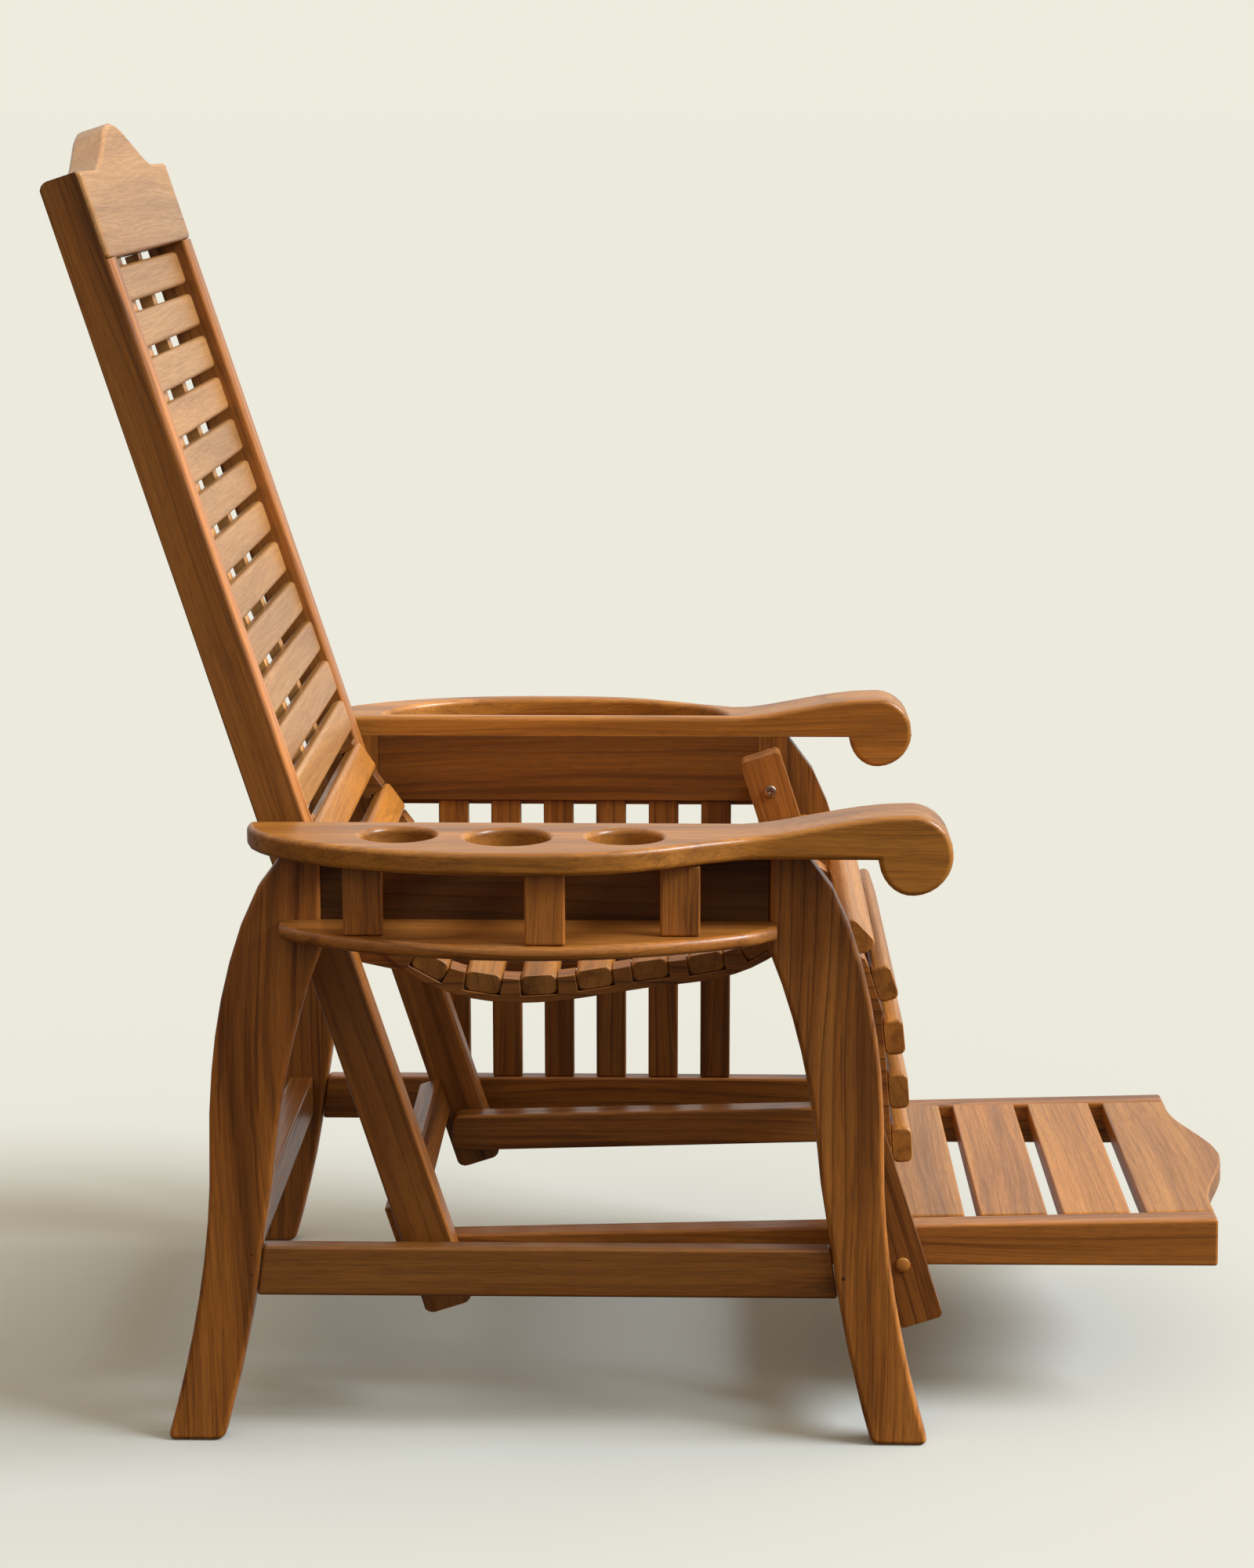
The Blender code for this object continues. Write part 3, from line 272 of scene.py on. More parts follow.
def teak(name, dark, body, light, contrast):
    """Oiled teak that reads each piece's own grain coordinates and its tone, which holds painted shade and light,
    its end grain, and its worn edges, painted paler as wear and a painted highlight.
    """
    material = bpy.data.materials.new(name)
    shader = Shader(material)
    grain = shader.attribute("grain")
    tone_and_light, end, wear_and_highlight = shader.split(shader.attribute("tone_light_end_wear"))

    sway = shader.noise(grain, *SWAY, output="Color")
    sway = shader.vector("MULTIPLY", shader.vector("SUBTRACT", sway, NOISE_MIDDLE), SWAY_REACH)
    bent = shader.vector("ADD", grain, sway)
    radius = shader.vector("LENGTH", shader.vector("MULTIPLY", bent, ACROSS_GRAIN))
    along = shader.split(grain)[0]
    radius = shader.math("MULTIPLY_ADD", along, RING_LEAN, radius)

    cells = shader.node("TexVoronoi", {"Vector": shader.vector("MULTIPLY", bent, KNOT_SCALE), "Scale": 1.0})
    chosen = shader.remap(shader.split(cells.outputs["Color"])[0], *KNOT_PICK, 0.0, 1.0)
    knot = shader.math("MULTIPLY", shader.remap(cells.outputs["Distance"], *KNOT_REACH, 1.0, 0.0), chosen)
    radius = shader.math("MULTIPLY_ADD", knot, KNOT_SWELL, radius)

    streak = shader.noise(bent, *STREAKS)
    band = shader.noise(bent, *BANDS)
    fibre = shader.noise(bent, *FIBRES)
    pore = shader.noise(grain, *PORES)
    rings = shader.math("MULTIPLY_ADD", streak, STREAK_SHIFT, shader.math("DIVIDE", radius, RING_SPACING))
    line = shader.ramp(shader.math("FRACT", rings), RING_PROFILE)
    line = shader.math("MULTIPLY", line, shader.remap(band, *LINE_BY_BAND))
    vein = shader.noise(bent, *VEINS)
    vein = shader.remap(vein, *VEIN_EDGE, 0.0, VEIN_DEPTH)
    vein = shader.math("MULTIPLY", vein, shader.remap(streak, *VEIN_BY_STREAK))
    line = shader.math("MAXIMUM", line, vein)

    colour = shader.ramp(streak, tuple(zip(STREAK_STOPS, (dark, body, light))))
    colour = shader.mix(shader.math("MULTIPLY", line, contrast), colour, (*dark, 1.0))
    colour = shader.scale(colour, shader.remap(band, *BAND_SHADE))
    colour = shader.scale(colour, shader.remap(fibre, *FIBRE_SPAN, *FIBRE_SHADE))
    colour = shader.scale(colour, shader.remap(pore, *PORE_SHADE))
    colour = shader.scale(colour, shader.remap(knot, *KNOT_DARKENING))
    # Tone, with the painted shade and light of some pieces and of the stiles' fronts
    colour = shader.scale(colour, shader.math("MULTIPLY_ADD", tone_and_light, TONE_STEP, 1.0))
    colour = shader.scale(colour, shader.math("MULTIPLY_ADD", end, END_DARKENING, 1.0))
    # Rounded edges paler: wear and a painted highlight
    colour = shader.scale(colour, shader.math("MULTIPLY_ADD", wear_and_highlight, WEAR_AND_HIGHLIGHT_PALER, 1.0))

    rough = shader.remap(fibre, *FIBRE_SPAN, DULL, SATIN)
    rough = shader.math("MULTIPLY_ADD", end, END_DULLER, rough)
    rough = shader.math("MULTIPLY_ADD", wear_and_highlight, WEAR_GLOSSIER, rough)
    height = shader.math("MULTIPLY_ADD", line, LINE_DEPTH, fibre)
    bump = shader.node("Bump", {"Strength": BUMP_STRENGTH, "Distance": BUMP_DEPTH, "Height": height})

    surface = shader.tree.nodes["Principled BSDF"]
    shader.feed(surface.inputs["Base Color"], colour)
    shader.feed(surface.inputs["Roughness"], rough)
    shader.feed(surface.inputs["Normal"], bump.outputs[0])
    surface.inputs["IOR"].default_value = WOOD_IOR
    surface.inputs["Coat Weight"].default_value = OIL_WEIGHT
    surface.inputs["Coat Roughness"].default_value = OIL_ROUGHNESS
    return material


# Plated steel
SCRATCHES = ((900.0, 90.0, 2600.0), 3.0, 0.6)
STAINS = ((160.0, 160.0, 160.0), 2.0, 0.5)
STAIN_STOPS = ((0.3, (0.40, 0.27, 0.20)), (0.7, (0.66, 0.50, 0.40)))
SCRATCH_SPAN = (0.2, 0.8)
STEEL_ROUGHNESS = (0.26, 0.48)
SCRATCH_STRENGTH = 0.2
SCRATCH_DEPTH = 0.0002


def bolt_metal(name):
    """Warm plated steel, brushed round its axis."""
    material = bpy.data.materials.new(name)
    shader = Shader(material)
    place = shader.node("TexCoord").outputs["Object"]
    scratch = shader.noise(place, *SCRATCHES)
    stain = shader.noise(place, *STAINS)
    colour = shader.ramp(stain, STAIN_STOPS)
    surface = shader.tree.nodes["Principled BSDF"]
    shader.feed(surface.inputs["Base Color"], colour)
    shader.feed(surface.inputs["Roughness"], shader.remap(scratch, *SCRATCH_SPAN, *STEEL_ROUGHNESS))
    bump = shader.node("Bump", {"Strength": SCRATCH_STRENGTH, "Distance": SCRATCH_DEPTH, "Height": scratch})
    shader.feed(surface.inputs["Normal"], bump.outputs[0])
    surface.inputs["Metallic"].default_value = 1.0
    return material


# Each wood's dark, middle and light colour, and how strongly its lines show
# The light and pale woods are lighter copies of teak for the pieces that face the light: painted light. The dark
# wood is a darker copy: painted shade on the side boards under the arms, and the plugs' own dark.
WOODS = {
    "teak": ((0.115, 0.0345, 0.0056), (0.355, 0.123, 0.019), (0.460, 0.178, 0.033), 0.88),
    "teak_light": ((0.23, 0.079, 0.010), (0.485, 0.186, 0.025), (0.595, 0.25, 0.042), 0.58),
    "teak_pale_lit": ((0.27, 0.108, 0.024), (0.43, 0.203, 0.056), (0.50, 0.255, 0.083), 0.30),
    "teak_dark": ((0.08, 0.0215, 0.003), (0.20, 0.064, 0.008), (0.285, 0.10, 0.0145), 0.80),
}
FINISHES = {name: teak(name, *wood) for name, wood in WOODS.items()}
FINISHES["bolt_steel"] = bolt_metal("bolt_steel")

# How much lighter or darker some pieces are than their kind, as in the photograph: partly each board's own tone,
# partly painted shade and light, such as the near side board darkened in the shade behind the posts, the near
# stile darkened, and the back's battens lightened as if lit through the slats
TONES_AND_PAINTED_LIGHT = {
    "side_stretcher_right": -3.6,
    "back_stile_right": -2.3,
    "front_link_left": 0.1,
    "armrest_left": 0.5,
    "armrest_right": -1.4,
    "side_board_right": -3.9,
    "side_board_left": -0.8,
    "cup_shelf_post_2": 0.9,
    "front_leg_right": 1.1,
    "footrest_rail_right": -0.5,
    "footrest_board_1": -0.5,
    "footrest_board_2": 0.7,
    "footrest_board_3": 0.2,
    "footrest_board_4": -0.3,
    "headrest": -0.7,
    "back_batten_right": 3.0,
    "back_batten_left": 3.0,
}

# Painted light: how much lighter the stiles' front faces, which face the key light, are painted than their sides,
# as in the photograph
FRONT_PAINTED_LIGHT = {"back_stile_right": 6.2, "back_stile_left": 2.6}

# A grain direction this close to Y takes its side from Z
NEAR_Y = 0.9


def grain_frame(axis):
    """The grain's direction and two directions across it."""
    along = axis.normalized()
    side = along.cross(Y if abs(along.y) < NEAR_Y else Z).normalized()
    return along, side, along.cross(side)


# Each board's place in its tree
PITH_SIDE = (0.05, 0.16)
PITH_ACROSS = (-0.06, 0.06)
GRAIN_START = (0.0, 40.0)
TONE_SPREAD = (-0.7, 0.9)
END_POWER = 3


def dress(shape, axis_of, name, rounded):
    """Writes the grain coordinates of every face corner and its tone, which holds painted shade and light, its end
    grain, and its rounded edges, painted paler as wear and a painted highlight; each piece is its own board.
    """
    draw = random.Random(name)
    pith = draw.uniform(*PITH_SIDE), draw.uniform(*PITH_ACROSS)
    start = draw.uniform(*GRAIN_START)
    # Each piece's tone, which for some pieces holds painted shade and light
    tone_and_light = TONES_AND_PAINTED_LIGHT.get(name, draw.uniform(*TONE_SPREAD))
    grain = shape.loops.layers.float_vector.new("grain")
    tone_light_end_wear = shape.loops.layers.float_vector.new("tone_light_end_wear")
    middle = sum((v.co for v in shape.verts), Vector()) / len(shape.verts)
    # Vertices on rounded edges, which are painted paler as wear and a painted highlight
    soft = {v for v in shape.verts if all(f in rounded for f in v.link_faces)}
    for face in shape.faces:
        along, side, across = grain_frame(axis_of(face))
        end = abs(face.normal.dot(along)) ** END_POWER
        # Painted light: on the stiles, faces turned forward towards the light are painted paler
        face_tone_and_light = tone_and_light + FRONT_PAINTED_LIGHT.get(name, 0.0) * max(face.normal.dot(FORWARD), 0.0)
        for corner in face.loops:
            place = corner.vert.co - middle
            from_pith = pith[0] + place.dot(side), pith[1] + place.dot(across)
            corner[grain] = (start + place.dot(along), *from_pith)
            corner[tone_light_end_wear] = (face_tone_and_light, end, 1.0 if corner.vert in soft else 0.0)


def make_piece(name, shape, body, slot, *nodes):
    """The shape as a smooth-shaded piece that rides on a body and stands for CAD nodes."""
    for edge in shape.edges:
        edge.smooth = len(edge.link_faces) == 2 and edge.calc_face_angle() < SHARP_ANGLE
    for face in shape.faces:
        face.smooth = True
    mesh = bpy.data.meshes.new(name)
    shape.to_mesh(mesh)
    shape.free()
    mesh.materials.append(FINISHES[slot])
    piece = bpy.data.objects.new(name, mesh)
    bpy.context.scene.collection.objects.link(piece)
    normals = piece.modifiers.new("flat faces stay flat", "WEIGHTED_NORMAL")
    normals.keep_sharp = True
    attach(piece, body)
    if nodes:
        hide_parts(*nodes)


def node_shape(node):
    """A CAD node's mesh, its triangles joined into whole faces; pins and their holes keep their shape."""
    short = PIVOT_SHORT_EDGE if node.startswith(PIVOTED) else SHORT_EDGE
    shape = bmesh.new()
    shape.from_mesh(NODES[node].data)
    bmesh.ops.remove_doubles(shape, verts=shape.verts, dist=MERGE)
    bmesh.ops.dissolve_degenerate(shape, dist=short, edges=shape.edges)
    bmesh.ops.dissolve_limit(
        shape, angle_limit=FLAT_ANGLE, use_dissolve_boundaries=False, verts=shape.verts, edges=shape.edges
    )
    shape.normal_update()
    return shape


def sharp_edges(shape, wanted=lambda edge: True):
    """Outward edges worth rounding: not the rims of pin holes."""
    return [
        edge for edge in shape.edges
        if len(edge.link_faces) == 2 and edge.is_convex and edge.calc_length() > HOLE_EDGE
        and edge.calc_face_angle() > SHARP_ANGLE and wanted(edge)
    ]


def round_edges(shape, edges, radius, clamp=True):
    """Rounds these edges and returns the new faces; clamp keeps the rounding within short edges."""
    made = bmesh.ops.bevel(
        shape, geom=edges, offset=radius, offset_type="OFFSET", segments=BEVEL_STEPS,
        profile=BEVEL_PROFILE, affect="EDGES", clamp_overlap=clamp, loop_slide=False,
    )
    shape.normal_update()
    return set(made["faces"])


def runs_along(edge, axis):
    """Whether an edge lies along a direction."""
    line = (edge.verts[1].co - edge.verts[0].co).normalized()
    return abs(line.dot(axis)) > PARALLEL


def eased(node, slot, axis, radius, corner=0.0, clamp=True, wanted=lambda edge: True):
    """A CAD node with its edges rounded; corner rounds the corners seen from the side first."""
    shape = node_shape(node)
    if corner:
        round_edges(shape, sharp_edges(shape, is_open_corner), corner)
    rounded = round_edges(shape, sharp_edges(shape, wanted), radius, clamp)
    axis_of = axis if callable(axis) else lambda face: axis
    dress(shape, axis_of, node, rounded)
    make_piece(f"{node}_eased", shape, BODY_OF[node], slot, node)


def headrest_front():
    """How far forward, square to the stiles, the headrest's front face lies."""
    return max(v.co.dot(FORWARD) for v in NODES["headrest"].data.vertices)


def off_lap(edge):
    """Whether an edge of a stile lies behind or below the headrest's lap."""
    middle = (edge.verts[0].co + edge.verts[1].co) / 2
    below = middle.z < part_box("headrest")[0].z - LAP_CLEAR
    return below or middle.dot(FORWARD) < headrest_front() - LAP_CLEAR


def is_open_corner(edge):
    """Whether an edge is a corner seen from the side that neither the headrest nor an arm covers."""
    under_arm = all(abs(v.co.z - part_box("front_leg_left")[1].z) < FLUSH for v in edge.verts)
    return runs_along(edge, Y) and off_lap(edge) and not under_arm


def off_stiles(edge):
    """Whether an edge of the headrest is not one that lies on a stile."""
    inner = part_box("back_stile_left")[0].y - FLUSH
    front = headrest_front() - FLUSH
    return any(abs(v.co.y) < inner or v.co.dot(FORWARD) > front for v in edge.verts)


def on_shelf_bow(edge):
    """Whether an edge runs round the bowed front of a shelf, clear of the legs and the posts."""
    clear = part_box("front_leg_left")[1].y + SHELF_TIP_CLEAR
    return all(abs(v.co.y) > clear for v in edge.verts) and not runs_along(edge, Z)


def off_board_joint(edge):
    """Whether an edge of an arm is not the one that lies flush on the side board and the legs."""
    low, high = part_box("side_board_left")
    return not all(abs(abs(v.co.y) - low.y) < FLUSH and abs(v.co.z - high.z) < FLUSH for v in edge.verts)


def make_boards():
    """Every straight or sawn board, rounded as the photograph shows its edges."""
    # The lighter copies of teak on the pieces that face the light and the dark copy on the side boards are painted
    # light and shade
    for side in ("right", "left"):
        for end in ("rear", "front"):
            make_leg(f"{end}_leg_{side}")
        eased(f"side_board_{side}", "teak_dark", X, BOARD_ROUND)
        eased(f"side_stretcher_{side}", "teak", X, STRETCHER_ROUND)
        eased(f"armrest_{side}", "teak_light", X, ARM_ROUND, clamp=False, wanted=off_board_joint)
        make_stile(f"back_stile_{side}")
        eased(f"front_link_{side}", "teak", UP_STILE, LINK_ROUND, LINK_CORNER)
        eased(f"footrest_rail_{side}", "teak", X, FOOTREST_RAIL_ROUND)
    for end in ("rear", "front"):
        eased(f"{end}_cross_stretcher", "teak", Y, CROSS_STRETCHER_ROUND)
    for number in POST_NUMBERS:
        eased(f"cup_shelf_post_{number}", "teak", Z, POST_ROUND)
    for number in MAGAZINE_SLAT_NUMBERS:
        eased(f"magazine_slat_{number}", "teak", Z, MAGAZINE_SLAT_ROUND)
    for number in FOOTREST_BOARD_NUMBERS:
        eased(f"footrest_board_{number}", "teak_light", Y, FOOTREST_BOARD_ROUND)
    eased("cup_shelf", "teak", X, CUP_SHELF_ROUND, clamp=False, wanted=on_shelf_bow)
    eased("magazine_shelf", "teak", shelf_grain, MAGAZINE_SHELF_ROUND)
    eased("headrest", "teak_pale_lit", Y, HEADREST_ROUND, wanted=off_stiles)
    eased("back_crossbar", "teak", Y, CROSSBAR_ROUND)


def leg_rim(shape):
    """The outlines of a leg's two faces, without its top and, inside, without the side board's joint."""
    reaches = [abs(v.co.y) for v in shape.verts]
    inner, outer = min(reaches), max(reaches)
    top = max(v.co.z for v in shape.verts) - FLUSH
    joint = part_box("side_board_left")[0].z - LEG_JOINT_CLEAR
    rim = []
    for edge in shape.edges:
        ys = [abs(v.co.y) for v in edge.verts]
        zs = [v.co.z for v in edge.verts]
        outside = min(ys) > outer - ON_FACE and min(zs) < top
        inside = max(ys) < inner + ON_FACE and max(zs) < joint
        if (outside or inside) and edge.calc_face_angle() > SHARP_ANGLE:
            rim.append(edge)
    return rim


def make_leg(node):
    """A sabre leg, rounded along both its faces."""
    shape = node_shape(node)
    round_edges(shape, sharp_edges(shape, is_open_corner), LEG_CORNER)
    rounded = round_edges(shape, leg_rim(shape), LEG_ROUND, clamp=False)
    dress(shape, lambda face: Z, node, rounded)
    make_piece(f"{node}_eased", shape, BODY_OF[node], "teak", node)


def make_stile(node):
    """A stile of the back, rounded along its length and at its open corners."""
    shape = node_shape(node)
    round_edges(shape, sharp_edges(shape, is_open_corner), STILE_CORNER)
    long_edges = [
        edge for edge in sharp_edges(shape)
        if runs_along(edge, UP_STILE) and edge.calc_length() > STILE_EDGE_LENGTH
    ]
    rounded = round_edges(shape, long_edges, STILE_ROUND, clamp=False)
    dress(shape, lambda face: UP_STILE, node, rounded)
    make_piece(f"{node}_eased", shape, BODY_OF[node], "teak", node)


def shelf_grain(face):
    """Along the magazine shelf, but upright in the posts that stand on it."""
    return Z if face.calc_center_median().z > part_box("cup_shelf")[1].z + POST_FOOT else X


# Slats
SLAT_STEPS = 5
SLAT_CORNER_THINNING = 0.25
FACES_SIDEWAYS = 0.999
AT_END = 1e-4
BATTEN_CLEAR = 0.02
SEAT_SLAT_ROUND = 0.0058
SEAT_SLAT_CORNER = 0.0030
BACK_SLAT_ROUND = 0.0045
BACK_SLAT_CORNER = 0.0075
SMALL_ROUND = 0.0012
SEAT_BATTEN_Y = 0.060
SEAT_BATTEN_WIDTH = 0.026
SEAT_BATTEN_THICKNESS = 0.011
SEAT_BATTEN_GAP = 0.0002
SEAT_BATTEN_TOUCH = 0.42
FIRST_SHIN_SLAT = 10
RAIL_GAP = 0.0003
RAIL_ROUND = 0.0008
RAIL_EDGE_LENGTH = 0.006


def end_faces(shape, y):
    """The faces that close a piece at its end in Y."""
    return [
        f for f in shape.faces
        if abs(f.normal.y) > FACES_SIDEWAYS and abs(f.calc_center_median().y - y) < AT_END
    ]


def section_frame(face, width_axis):
    """The middle of a slat's end face, its width and thickness, and their directions in X and Z."""
    points = [v.co for v in face.verts]
    thick_axis = width_axis.cross(Y)
    spans = []
    for axis in (width_axis, thick_axis):
        reach = [p.dot(axis) for p in points]
        spans.append((min(reach), max(reach)))
    middle = sum((axis * sum(span) / 2 for axis, span in zip((width_axis, thick_axis), spans)), Vector())
    return middle, [high - low for low, high in spans], thick_axis


def slat_shape(middle, width_axis, thick_axis, size, reach, rounding, corner):
    """A slat with a rounded section, whose corners are rounded in its own plane too."""
    half_w, half_t = size[0] / 2, size[1] / 2
    quarter = [math.pi / 2 * i / SLAT_STEPS for i in range(SLAT_STEPS + 1)]
    section = []
    for turn, (sx, sy) in enumerate(((1, 1), (-1, 1), (-1, -1), (1, -1))):
        for t in quarter:
            angle = turn * math.pi / 2 + t
            section.append((sx * (half_w - rounding) + rounding * math.cos(angle),
                            sy * (half_t - rounding) + rounding * math.sin(angle)))
    insets = [(corner * (1 - math.cos(t)), corner * (1 - math.sin(t))) for t in quarter]
    stations = [(-reach + d, inset) for d, inset in insets]
    stations += [(-y, inset) for y, inset in reversed(stations)]
    shape = bmesh.new()
    rings = []
    for y, inset in stations:
        squeeze = (half_w - inset) / half_w
        thin = (half_t - inset * SLAT_CORNER_THINNING) / half_t
        places = [middle + width_axis * (a * squeeze) + thick_axis * (b * thin) + Y * y for a, b in section]
        rings.append([shape.verts.new(p) for p in places])
    count = len(section)
    for first, second in zip(rings, rings[1:]):
        for i in range(count):
            j = (i + 1) % count
            shape.faces.new((first[i], first[j], second[j], second[i]))
    shape.faces.new(rings[0])
    shape.faces.new(rings[-1])
    bmesh.ops.recalc_face_normals(shape, faces=shape.faces)
    return shape


def main_axis(points):
    """The direction in X and Z along which points spread most."""
    flat = np.array([(p.x, p.z) for p in points])
    flat -= flat.mean(axis=0)
    x, z = np.linalg.svd(flat)[2][0]
    return Vector((x, 0, z))


def make_slat(name, face, reach, rounding, corner, width_axis, body, slot, node):
    """A slat as wide and thick as its CAD end face; returns its middle, size and way up."""
    middle, size, thick_axis = section_frame(face, width_axis)
    shape = slat_shape(middle, width_axis, thick_axis, size, reach, rounding, corner)
    dress(shape, lambda f: Y, name, set())
    make_piece(name, shape, body, slot, node)
    return middle, size, thick_axis


def slat_end(node):
    """A seat slat's end face and how far out it lies."""
    shape = node_shape(node)
    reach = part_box(node)[1].y
    return shape, end_faces(shape, reach)[0], reach


def make_seat_slats():
    """The seat's slats, from the loins to the shins, and the two battens under them."""
    nodes = sorted(node for node in NODES if node.startswith("seat_slat_"))
    middles = [sum((Vector(p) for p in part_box(node)), Vector()) / 2 for node in nodes]
    sections = []
    for i, node in enumerate(nodes):
        shape, face, reach = slat_end(node)
        onward = middles[min(i + 1, len(nodes) - 1)] - middles[max(i - 1, 0)]
        width_axis = main_axis([v.co for v in face.verts])
        if width_axis.dot(onward) < 0:
            width_axis = -width_axis
        # The seat's slats take a lighter copy of teak: painted light
        made = make_slat(
            f"{node}_eased", face, reach, SEAT_SLAT_ROUND, SEAT_SLAT_CORNER, width_axis,
            "seat", "teak_light", node,
        )
        sections.append((width_axis, *made))
        shape.free()
    for side, sign in (("right", -1), ("left", 1)):
        make_seat_batten(f"seat_batten_{side}", sections[1:-1], sign * SEAT_BATTEN_Y)
        make_seat_rail(f"seat_rail_{side}", sections)


def make_seat_rail(node, sections):
    """A seat rail, with its long edges lightly rounded."""
    shape = node_shape(node)
    trim_rail(shape, sections)
    edges = sharp_edges(shape, lambda edge: edge.calc_length() > RAIL_EDGE_LENGTH)
    rounded = round_edges(shape, edges, RAIL_ROUND, clamp=False)
    dress(shape, lambda face: X, node, rounded)
    make_piece(f"{node}_eased", shape, BODY_OF[node], "teak", node)


def trim_rail(shape, sections):
    """Takes a seat rail down to the slats' undersides past the knee, where they lie on its front edge."""
    for vert in shape.verts:
        nearest = min(range(len(sections)), key=lambda i: (sections[i][1].xz - vert.co.xz).length)
        _, middle, size, up = sections[nearest]
        rise = (vert.co - middle).dot(up) + size[1] / 2 + RAIL_GAP
        if nearest >= FIRST_SHIN_SLAT and rise > 0:
            vert.co -= up * rise
    bmesh.ops.remove_doubles(shape, verts=shape.verts, dist=PIVOT_SHORT_EDGE)
    bmesh.ops.dissolve_degenerate(shape, dist=PIVOT_SHORT_EDGE, edges=shape.edges)
    shape.normal_update()


def make_seat_batten(name, sections, y):
    """A bent batten that follows the undersides of the slats."""
    upper, lower = [], []
    for width_axis, middle, size, up in sections:
        for way in (-1, 1):
            below = size[1] / 2 + SEAT_BATTEN_GAP
            place = middle + width_axis * (way * SEAT_BATTEN_TOUCH * size[0]) - up * below
            upper.append(place)
            lower.append(place - up * SEAT_BATTEN_THICKNESS)
    outline = upper + lower[::-1]
    shape = bmesh.new()
    half = Y * (SEAT_BATTEN_WIDTH / 2)
    loops = [[shape.verts.new(p + Y * y + offset) for p in outline] for offset in (-half, half)]
    close_prism(shape, loops)
    rounded = round_edges(shape, sharp_edges(shape), SMALL_ROUND)
    dress(shape, lambda f: X, name, rounded)
    make_piece(name, shape, "seat", "teak")


def close_prism(shape, loops):
    """Walls between two equal loops, and a face on each."""
    first, second = loops
    for i in range(len(first)):
        j = (i + 1) % len(first)
        shape.faces.new((first[i], first[j], second[j], second[i]))
    for loop in loops:
        shape.faces.new(loop)
    bmesh.ops.recalc_face_normals(shape, faces=shape.faces)


def make_back_panel():
    """The back's slats one by one, and the two battens behind them."""
    node = "back_slat_panel"
    panel = node_shape(node)
    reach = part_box(node)[1].y
    faces = sorted(end_faces(panel, reach), key=lambda f: -f.calc_center_median().z)
    for number, face in enumerate(faces, 1):
        name = f"back_slat_{number:02d}"
        # The back's slats take the pale copy of teak: painted light
        make_slat(name, face, reach, BACK_SLAT_ROUND, BACK_SLAT_CORNER, UP_STILE, "back", "teak_pale_lit", node)
    for side, sign in (("right", -1), ("left", 1)):
        make_back_batten(panel, f"back_batten_{side}", sign, reach)
    panel.free()


def make_back_batten(panel, name, sign, reach):
    """A batten behind the back's slats, from the sides of its CAD shape."""
    cheeks = [
        f for f in panel.faces
        if abs(f.normal.y) > FACES_SIDEWAYS
        and BATTEN_CLEAR < sign * f.calc_center_median().y < reach - BATTEN_CLEAR
    ]
    cheek = max(cheeks, key=lambda f: f.calc_area())
    ys = sorted(f.calc_center_median().y for f in cheeks)
    shape = bmesh.new()
    loops = [[shape.verts.new((v.co.x, y, v.co.z)) for v in cheek.verts] for y in (ys[0], ys[-1])]
    close_prism(shape, loops)
    rounded = round_edges(shape, sharp_edges(shape), SMALL_ROUND)
    dress(shape, lambda f: UP_STILE, name, rounded)
    # The battens take the pale copy of teak: painted light
    make_piece(name, shape, "back", "teak_pale_lit", "back_slat_panel")


# Turned and small pieces; a head is its radius and its height
TURN_STEPS = 48
TURN_RINGS = 12
PIN_HEAD = (0.0067, 0.0017)
SCREW_HEAD = (0.0061, 0.0017)
CROSS_ARM = 0.0033
CROSS_HALF_WIDTH = 0.0007
CROSS_DEPTH = 0.0009
PLUG = (0.0019, 0.0003)
PLUG_PLACES = ((-0.3577, 0.174), (-0.3577, 0.156), (0.1632, 0.155))
SINK = 0.0004


def cross_recess(u, v):
    """How deep a screw's cross recess is at a place on its head."""
    low, high = sorted((abs(u), abs(v)))
    return CROSS_DEPTH if low < CROSS_HALF_WIDTH and high < CROSS_ARM else 0.0


def make_dome(name, place, outward, size, body, slot, recess=lambda u, v: 0.0):
    """A domed head that stands on a face, sunk a little into it."""
    radius, height = size
    _, side, across = grain_frame(outward)
    shape = bmesh.new()
    rings = []
    for ring in range(-1, TURN_RINGS):
        turn = math.pi / 2 * max(ring, 0) / TURN_RINGS
        reach = radius * math.cos(turn)
        rise = -SINK if ring < 0 else height * math.sin(turn)
        points = []
        for step in range(TURN_STEPS):
            angle = 2 * math.pi * step / TURN_STEPS
            u, v = reach * math.cos(angle), reach * math.sin(angle)
            points.append(shape.verts.new(place + side * u + across * v + outward * (rise - recess(u, v))))
        rings.append(points)
    for first, second in zip(rings, rings[1:]):
        for i in range(TURN_STEPS):
            j = (i + 1) % TURN_STEPS
            shape.faces.new((first[i], first[j], second[j], second[i]))
    shape.faces.new(rings[0])
    shape.faces.new(rings[-1])
    bmesh.ops.recalc_face_normals(shape, faces=shape.faces)
    dress(shape, lambda f: outward, name, set())
    make_piece(name, shape, body, slot)


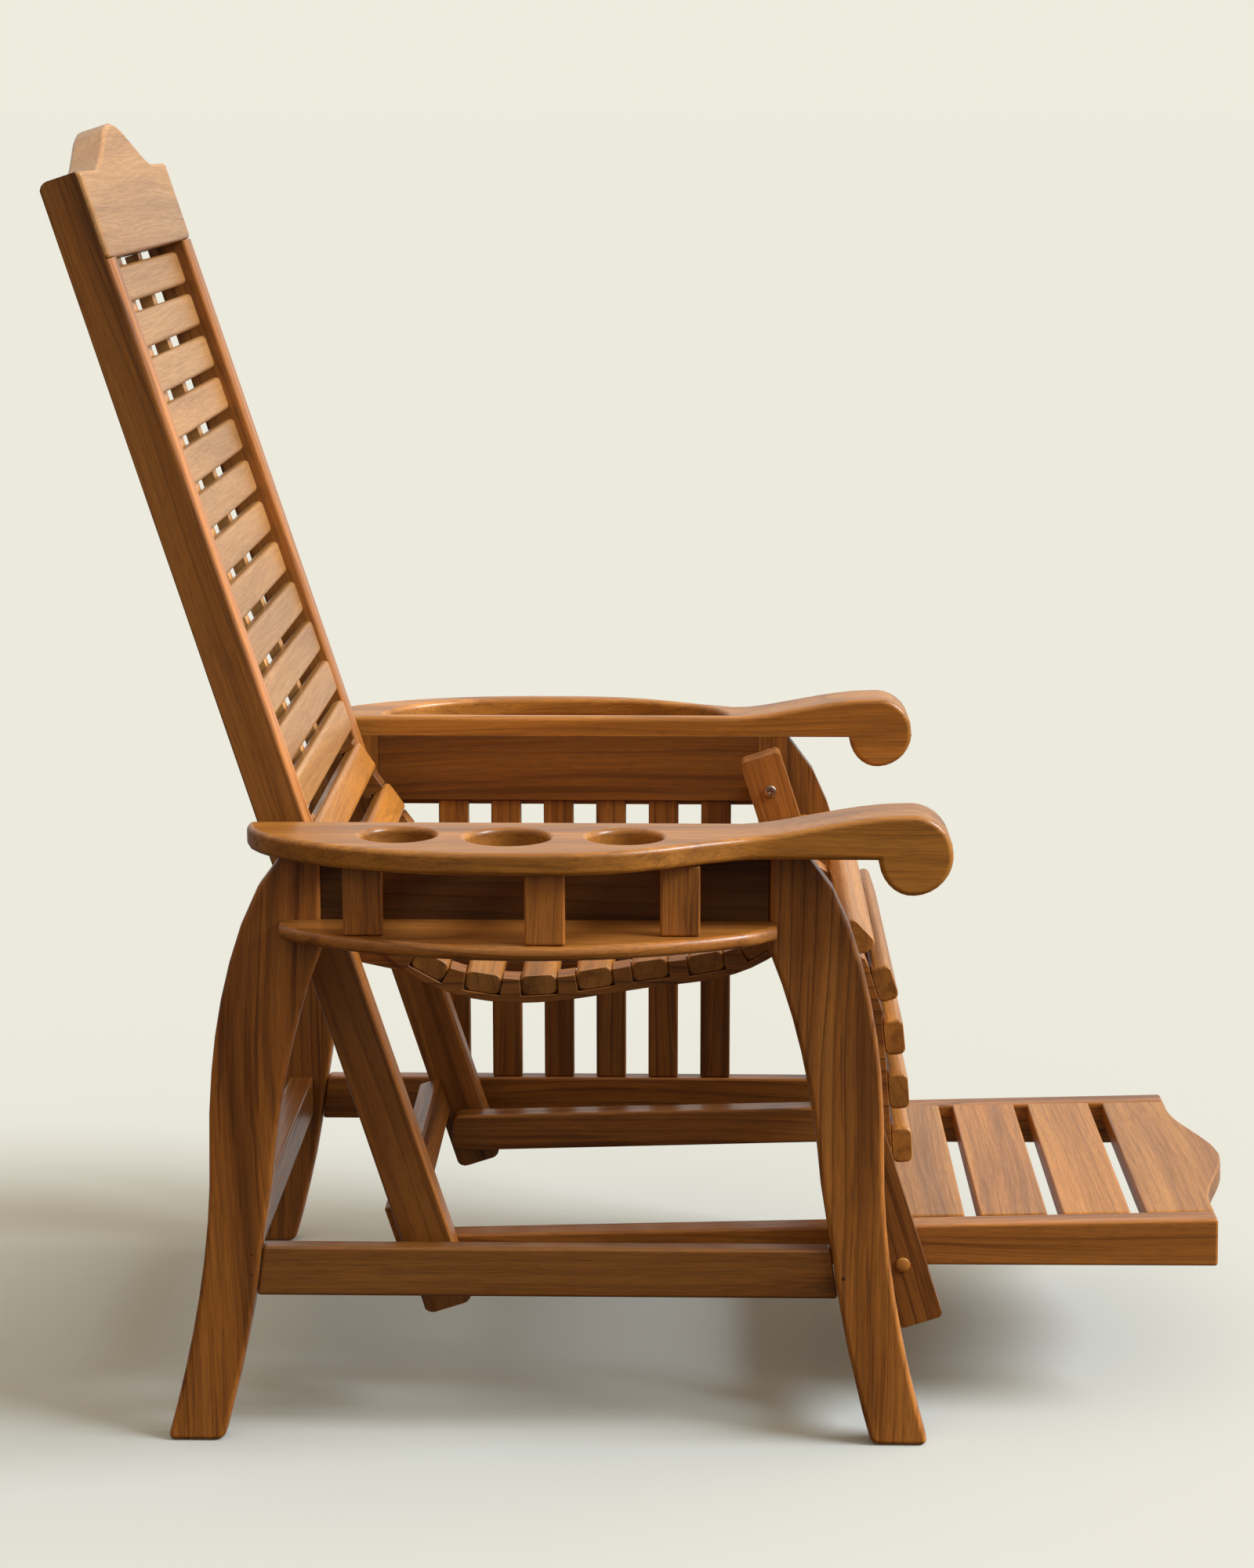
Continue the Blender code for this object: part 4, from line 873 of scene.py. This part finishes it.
def make_hardware():
    """Cross-headed bolts at the fixed pivots, the ends of the footrest's pins, and plugs in the legs."""
    rear_to_front = JOINTS["link_swing"] - JOINTS["back_recline"]
    front_pin = JOINTS["footrest_level"]
    pins = {"rear": front_pin - rear_to_front, "front": front_pin}
    bolts = {"rear": JOINTS["back_recline"], "front": JOINTS["link_swing"]}
    for side, sign in (("right", -1), ("left", 1)):
        for end in ("rear", "front"):
            node = f"pivot_bolt_{end}_{side}"
            NODES[node].data.materials.clear()
            NODES[node].data.materials.append(FINISHES["bolt_steel"])
            inner = min(abs(p.y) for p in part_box(node))
            head = bolts[end] + Y * (sign * inner)
            name = f"bolt_head_{end}_{side}"
            make_dome(name, head, Y * -sign, SCREW_HEAD, "frame", "bolt_steel", cross_recess)
            outer = max(abs(p.y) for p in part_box(f"footrest_rail_{side}"))
            pin = pins[end] + Y * (sign * outer)
            make_dome(f"pin_head_{end}_{side}", pin, Y * sign, PIN_HEAD, "footrest", "teak_light")
        leg_face = max(abs(p.y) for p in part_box(f"front_leg_{side}"))
        for number, (x, z) in enumerate(PLUG_PLACES, 1):
            plug = Vector((x, sign * leg_face, z))
            make_dome(f"leg_plug_{number}_{side}", plug, Y * sign, PLUG, "frame", "teak_dark")


def make_floor():
    """A plain pale floor."""
    mesh = bpy.data.meshes.new("floor")
    r = FLOOR_REACH
    z = CAD_BOX[0].z - FLOOR_BELOW
    mesh.from_pydata([(-r, -r, z), (r, -r, z), (r, r, z), (-r, r, z)], [], [(0, 1, 2, 3)])
    floor = bpy.data.objects.new("floor", mesh)
    bpy.context.scene.collection.objects.link(floor)
    material = bpy.data.materials.new("pale_floor")
    material.use_nodes = True
    surface = material.node_tree.nodes["Principled BSDF"]
    surface.inputs["Base Color"].default_value = (*FLOOR_COLOUR, 1.0)
    surface.inputs["Roughness"].default_value = 1.0
    surface.inputs["Specular IOR Level"].default_value = 0.0
    mesh.materials.append(material)
    floor.visible_diffuse = False
    floor.visible_glossy = False


def make_light():
    """A broad soft key from the right, a dome, fills from two sides, and a sheen from behind the chair."""
    sun = bpy.data.lights.new("key", "SUN")
    sun.energy = KEY_STRENGTH
    sun.angle = KEY_SPREAD
    sun.color = KEY_COLOUR
    key = bpy.data.objects.new("key", sun)
    key.rotation_euler = KEY_DIRECTION.to_track_quat("Z", "Y").to_euler()
    bpy.context.scene.collection.objects.link(key)

    world = bpy.data.worlds.new("studio")
    bpy.context.scene.world = world
    shader = Shader(world)
    way = shader.node("TexCoord").outputs["Generated"]
    rise = shader.math("MAXIMUM", shader.split(way)[2], 0.0)
    dome = shader.math("MULTIPLY_ADD", shader.math("POWER", rise, DOME_POWER), DOME_STRENGTH, DOME_BELOW)
    for direction, strength, power in FILLS:
        facing = shader.math("MAXIMUM", shader.vector("DOT_PRODUCT", way, direction.normalized()), 0.0)
        dome = shader.math("MULTIPLY_ADD", shader.math("POWER", facing, power), strength, dome)
    dome = shader.scale(DOME_COLOUR, dome)
    towards = shader.vector("DOT_PRODUCT", way, SHEEN_DIRECTION.normalized())
    sheen = shader.ramp(shader.math("MULTIPLY_ADD", towards, 0.5, 0.5), SHEEN_STOPS)
    sheen = shader.vector("MULTIPLY", sheen, SHEEN_COLOUR)
    path = shader.node("LightPath").outputs
    colour = shader.mix(path["Is Glossy Ray"], dome, sheen)
    colour = shader.mix(path["Is Camera Ray"], colour, (*BACKDROP, 1.0))
    shader.feed(shader.tree.nodes["Background"].inputs["Color"], colour)


def make_camera():
    """The photograph's view."""
    lens = bpy.data.cameras.new("camera")
    lens.lens = LENS_MM
    lens.sensor_width = SENSOR_MM
    camera = bpy.data.objects.new("camera", lens)
    camera.location = CAMERA_PLACE
    camera.rotation_euler = CAMERA_TURN
    bpy.context.scene.collection.objects.link(camera)
    bpy.context.scene.camera = camera
    bpy.context.scene.view_settings.view_transform = "Standard"


make_camera()
make_floor()
make_light()
make_boards()
make_seat_slats()
make_back_panel()
make_hardware()
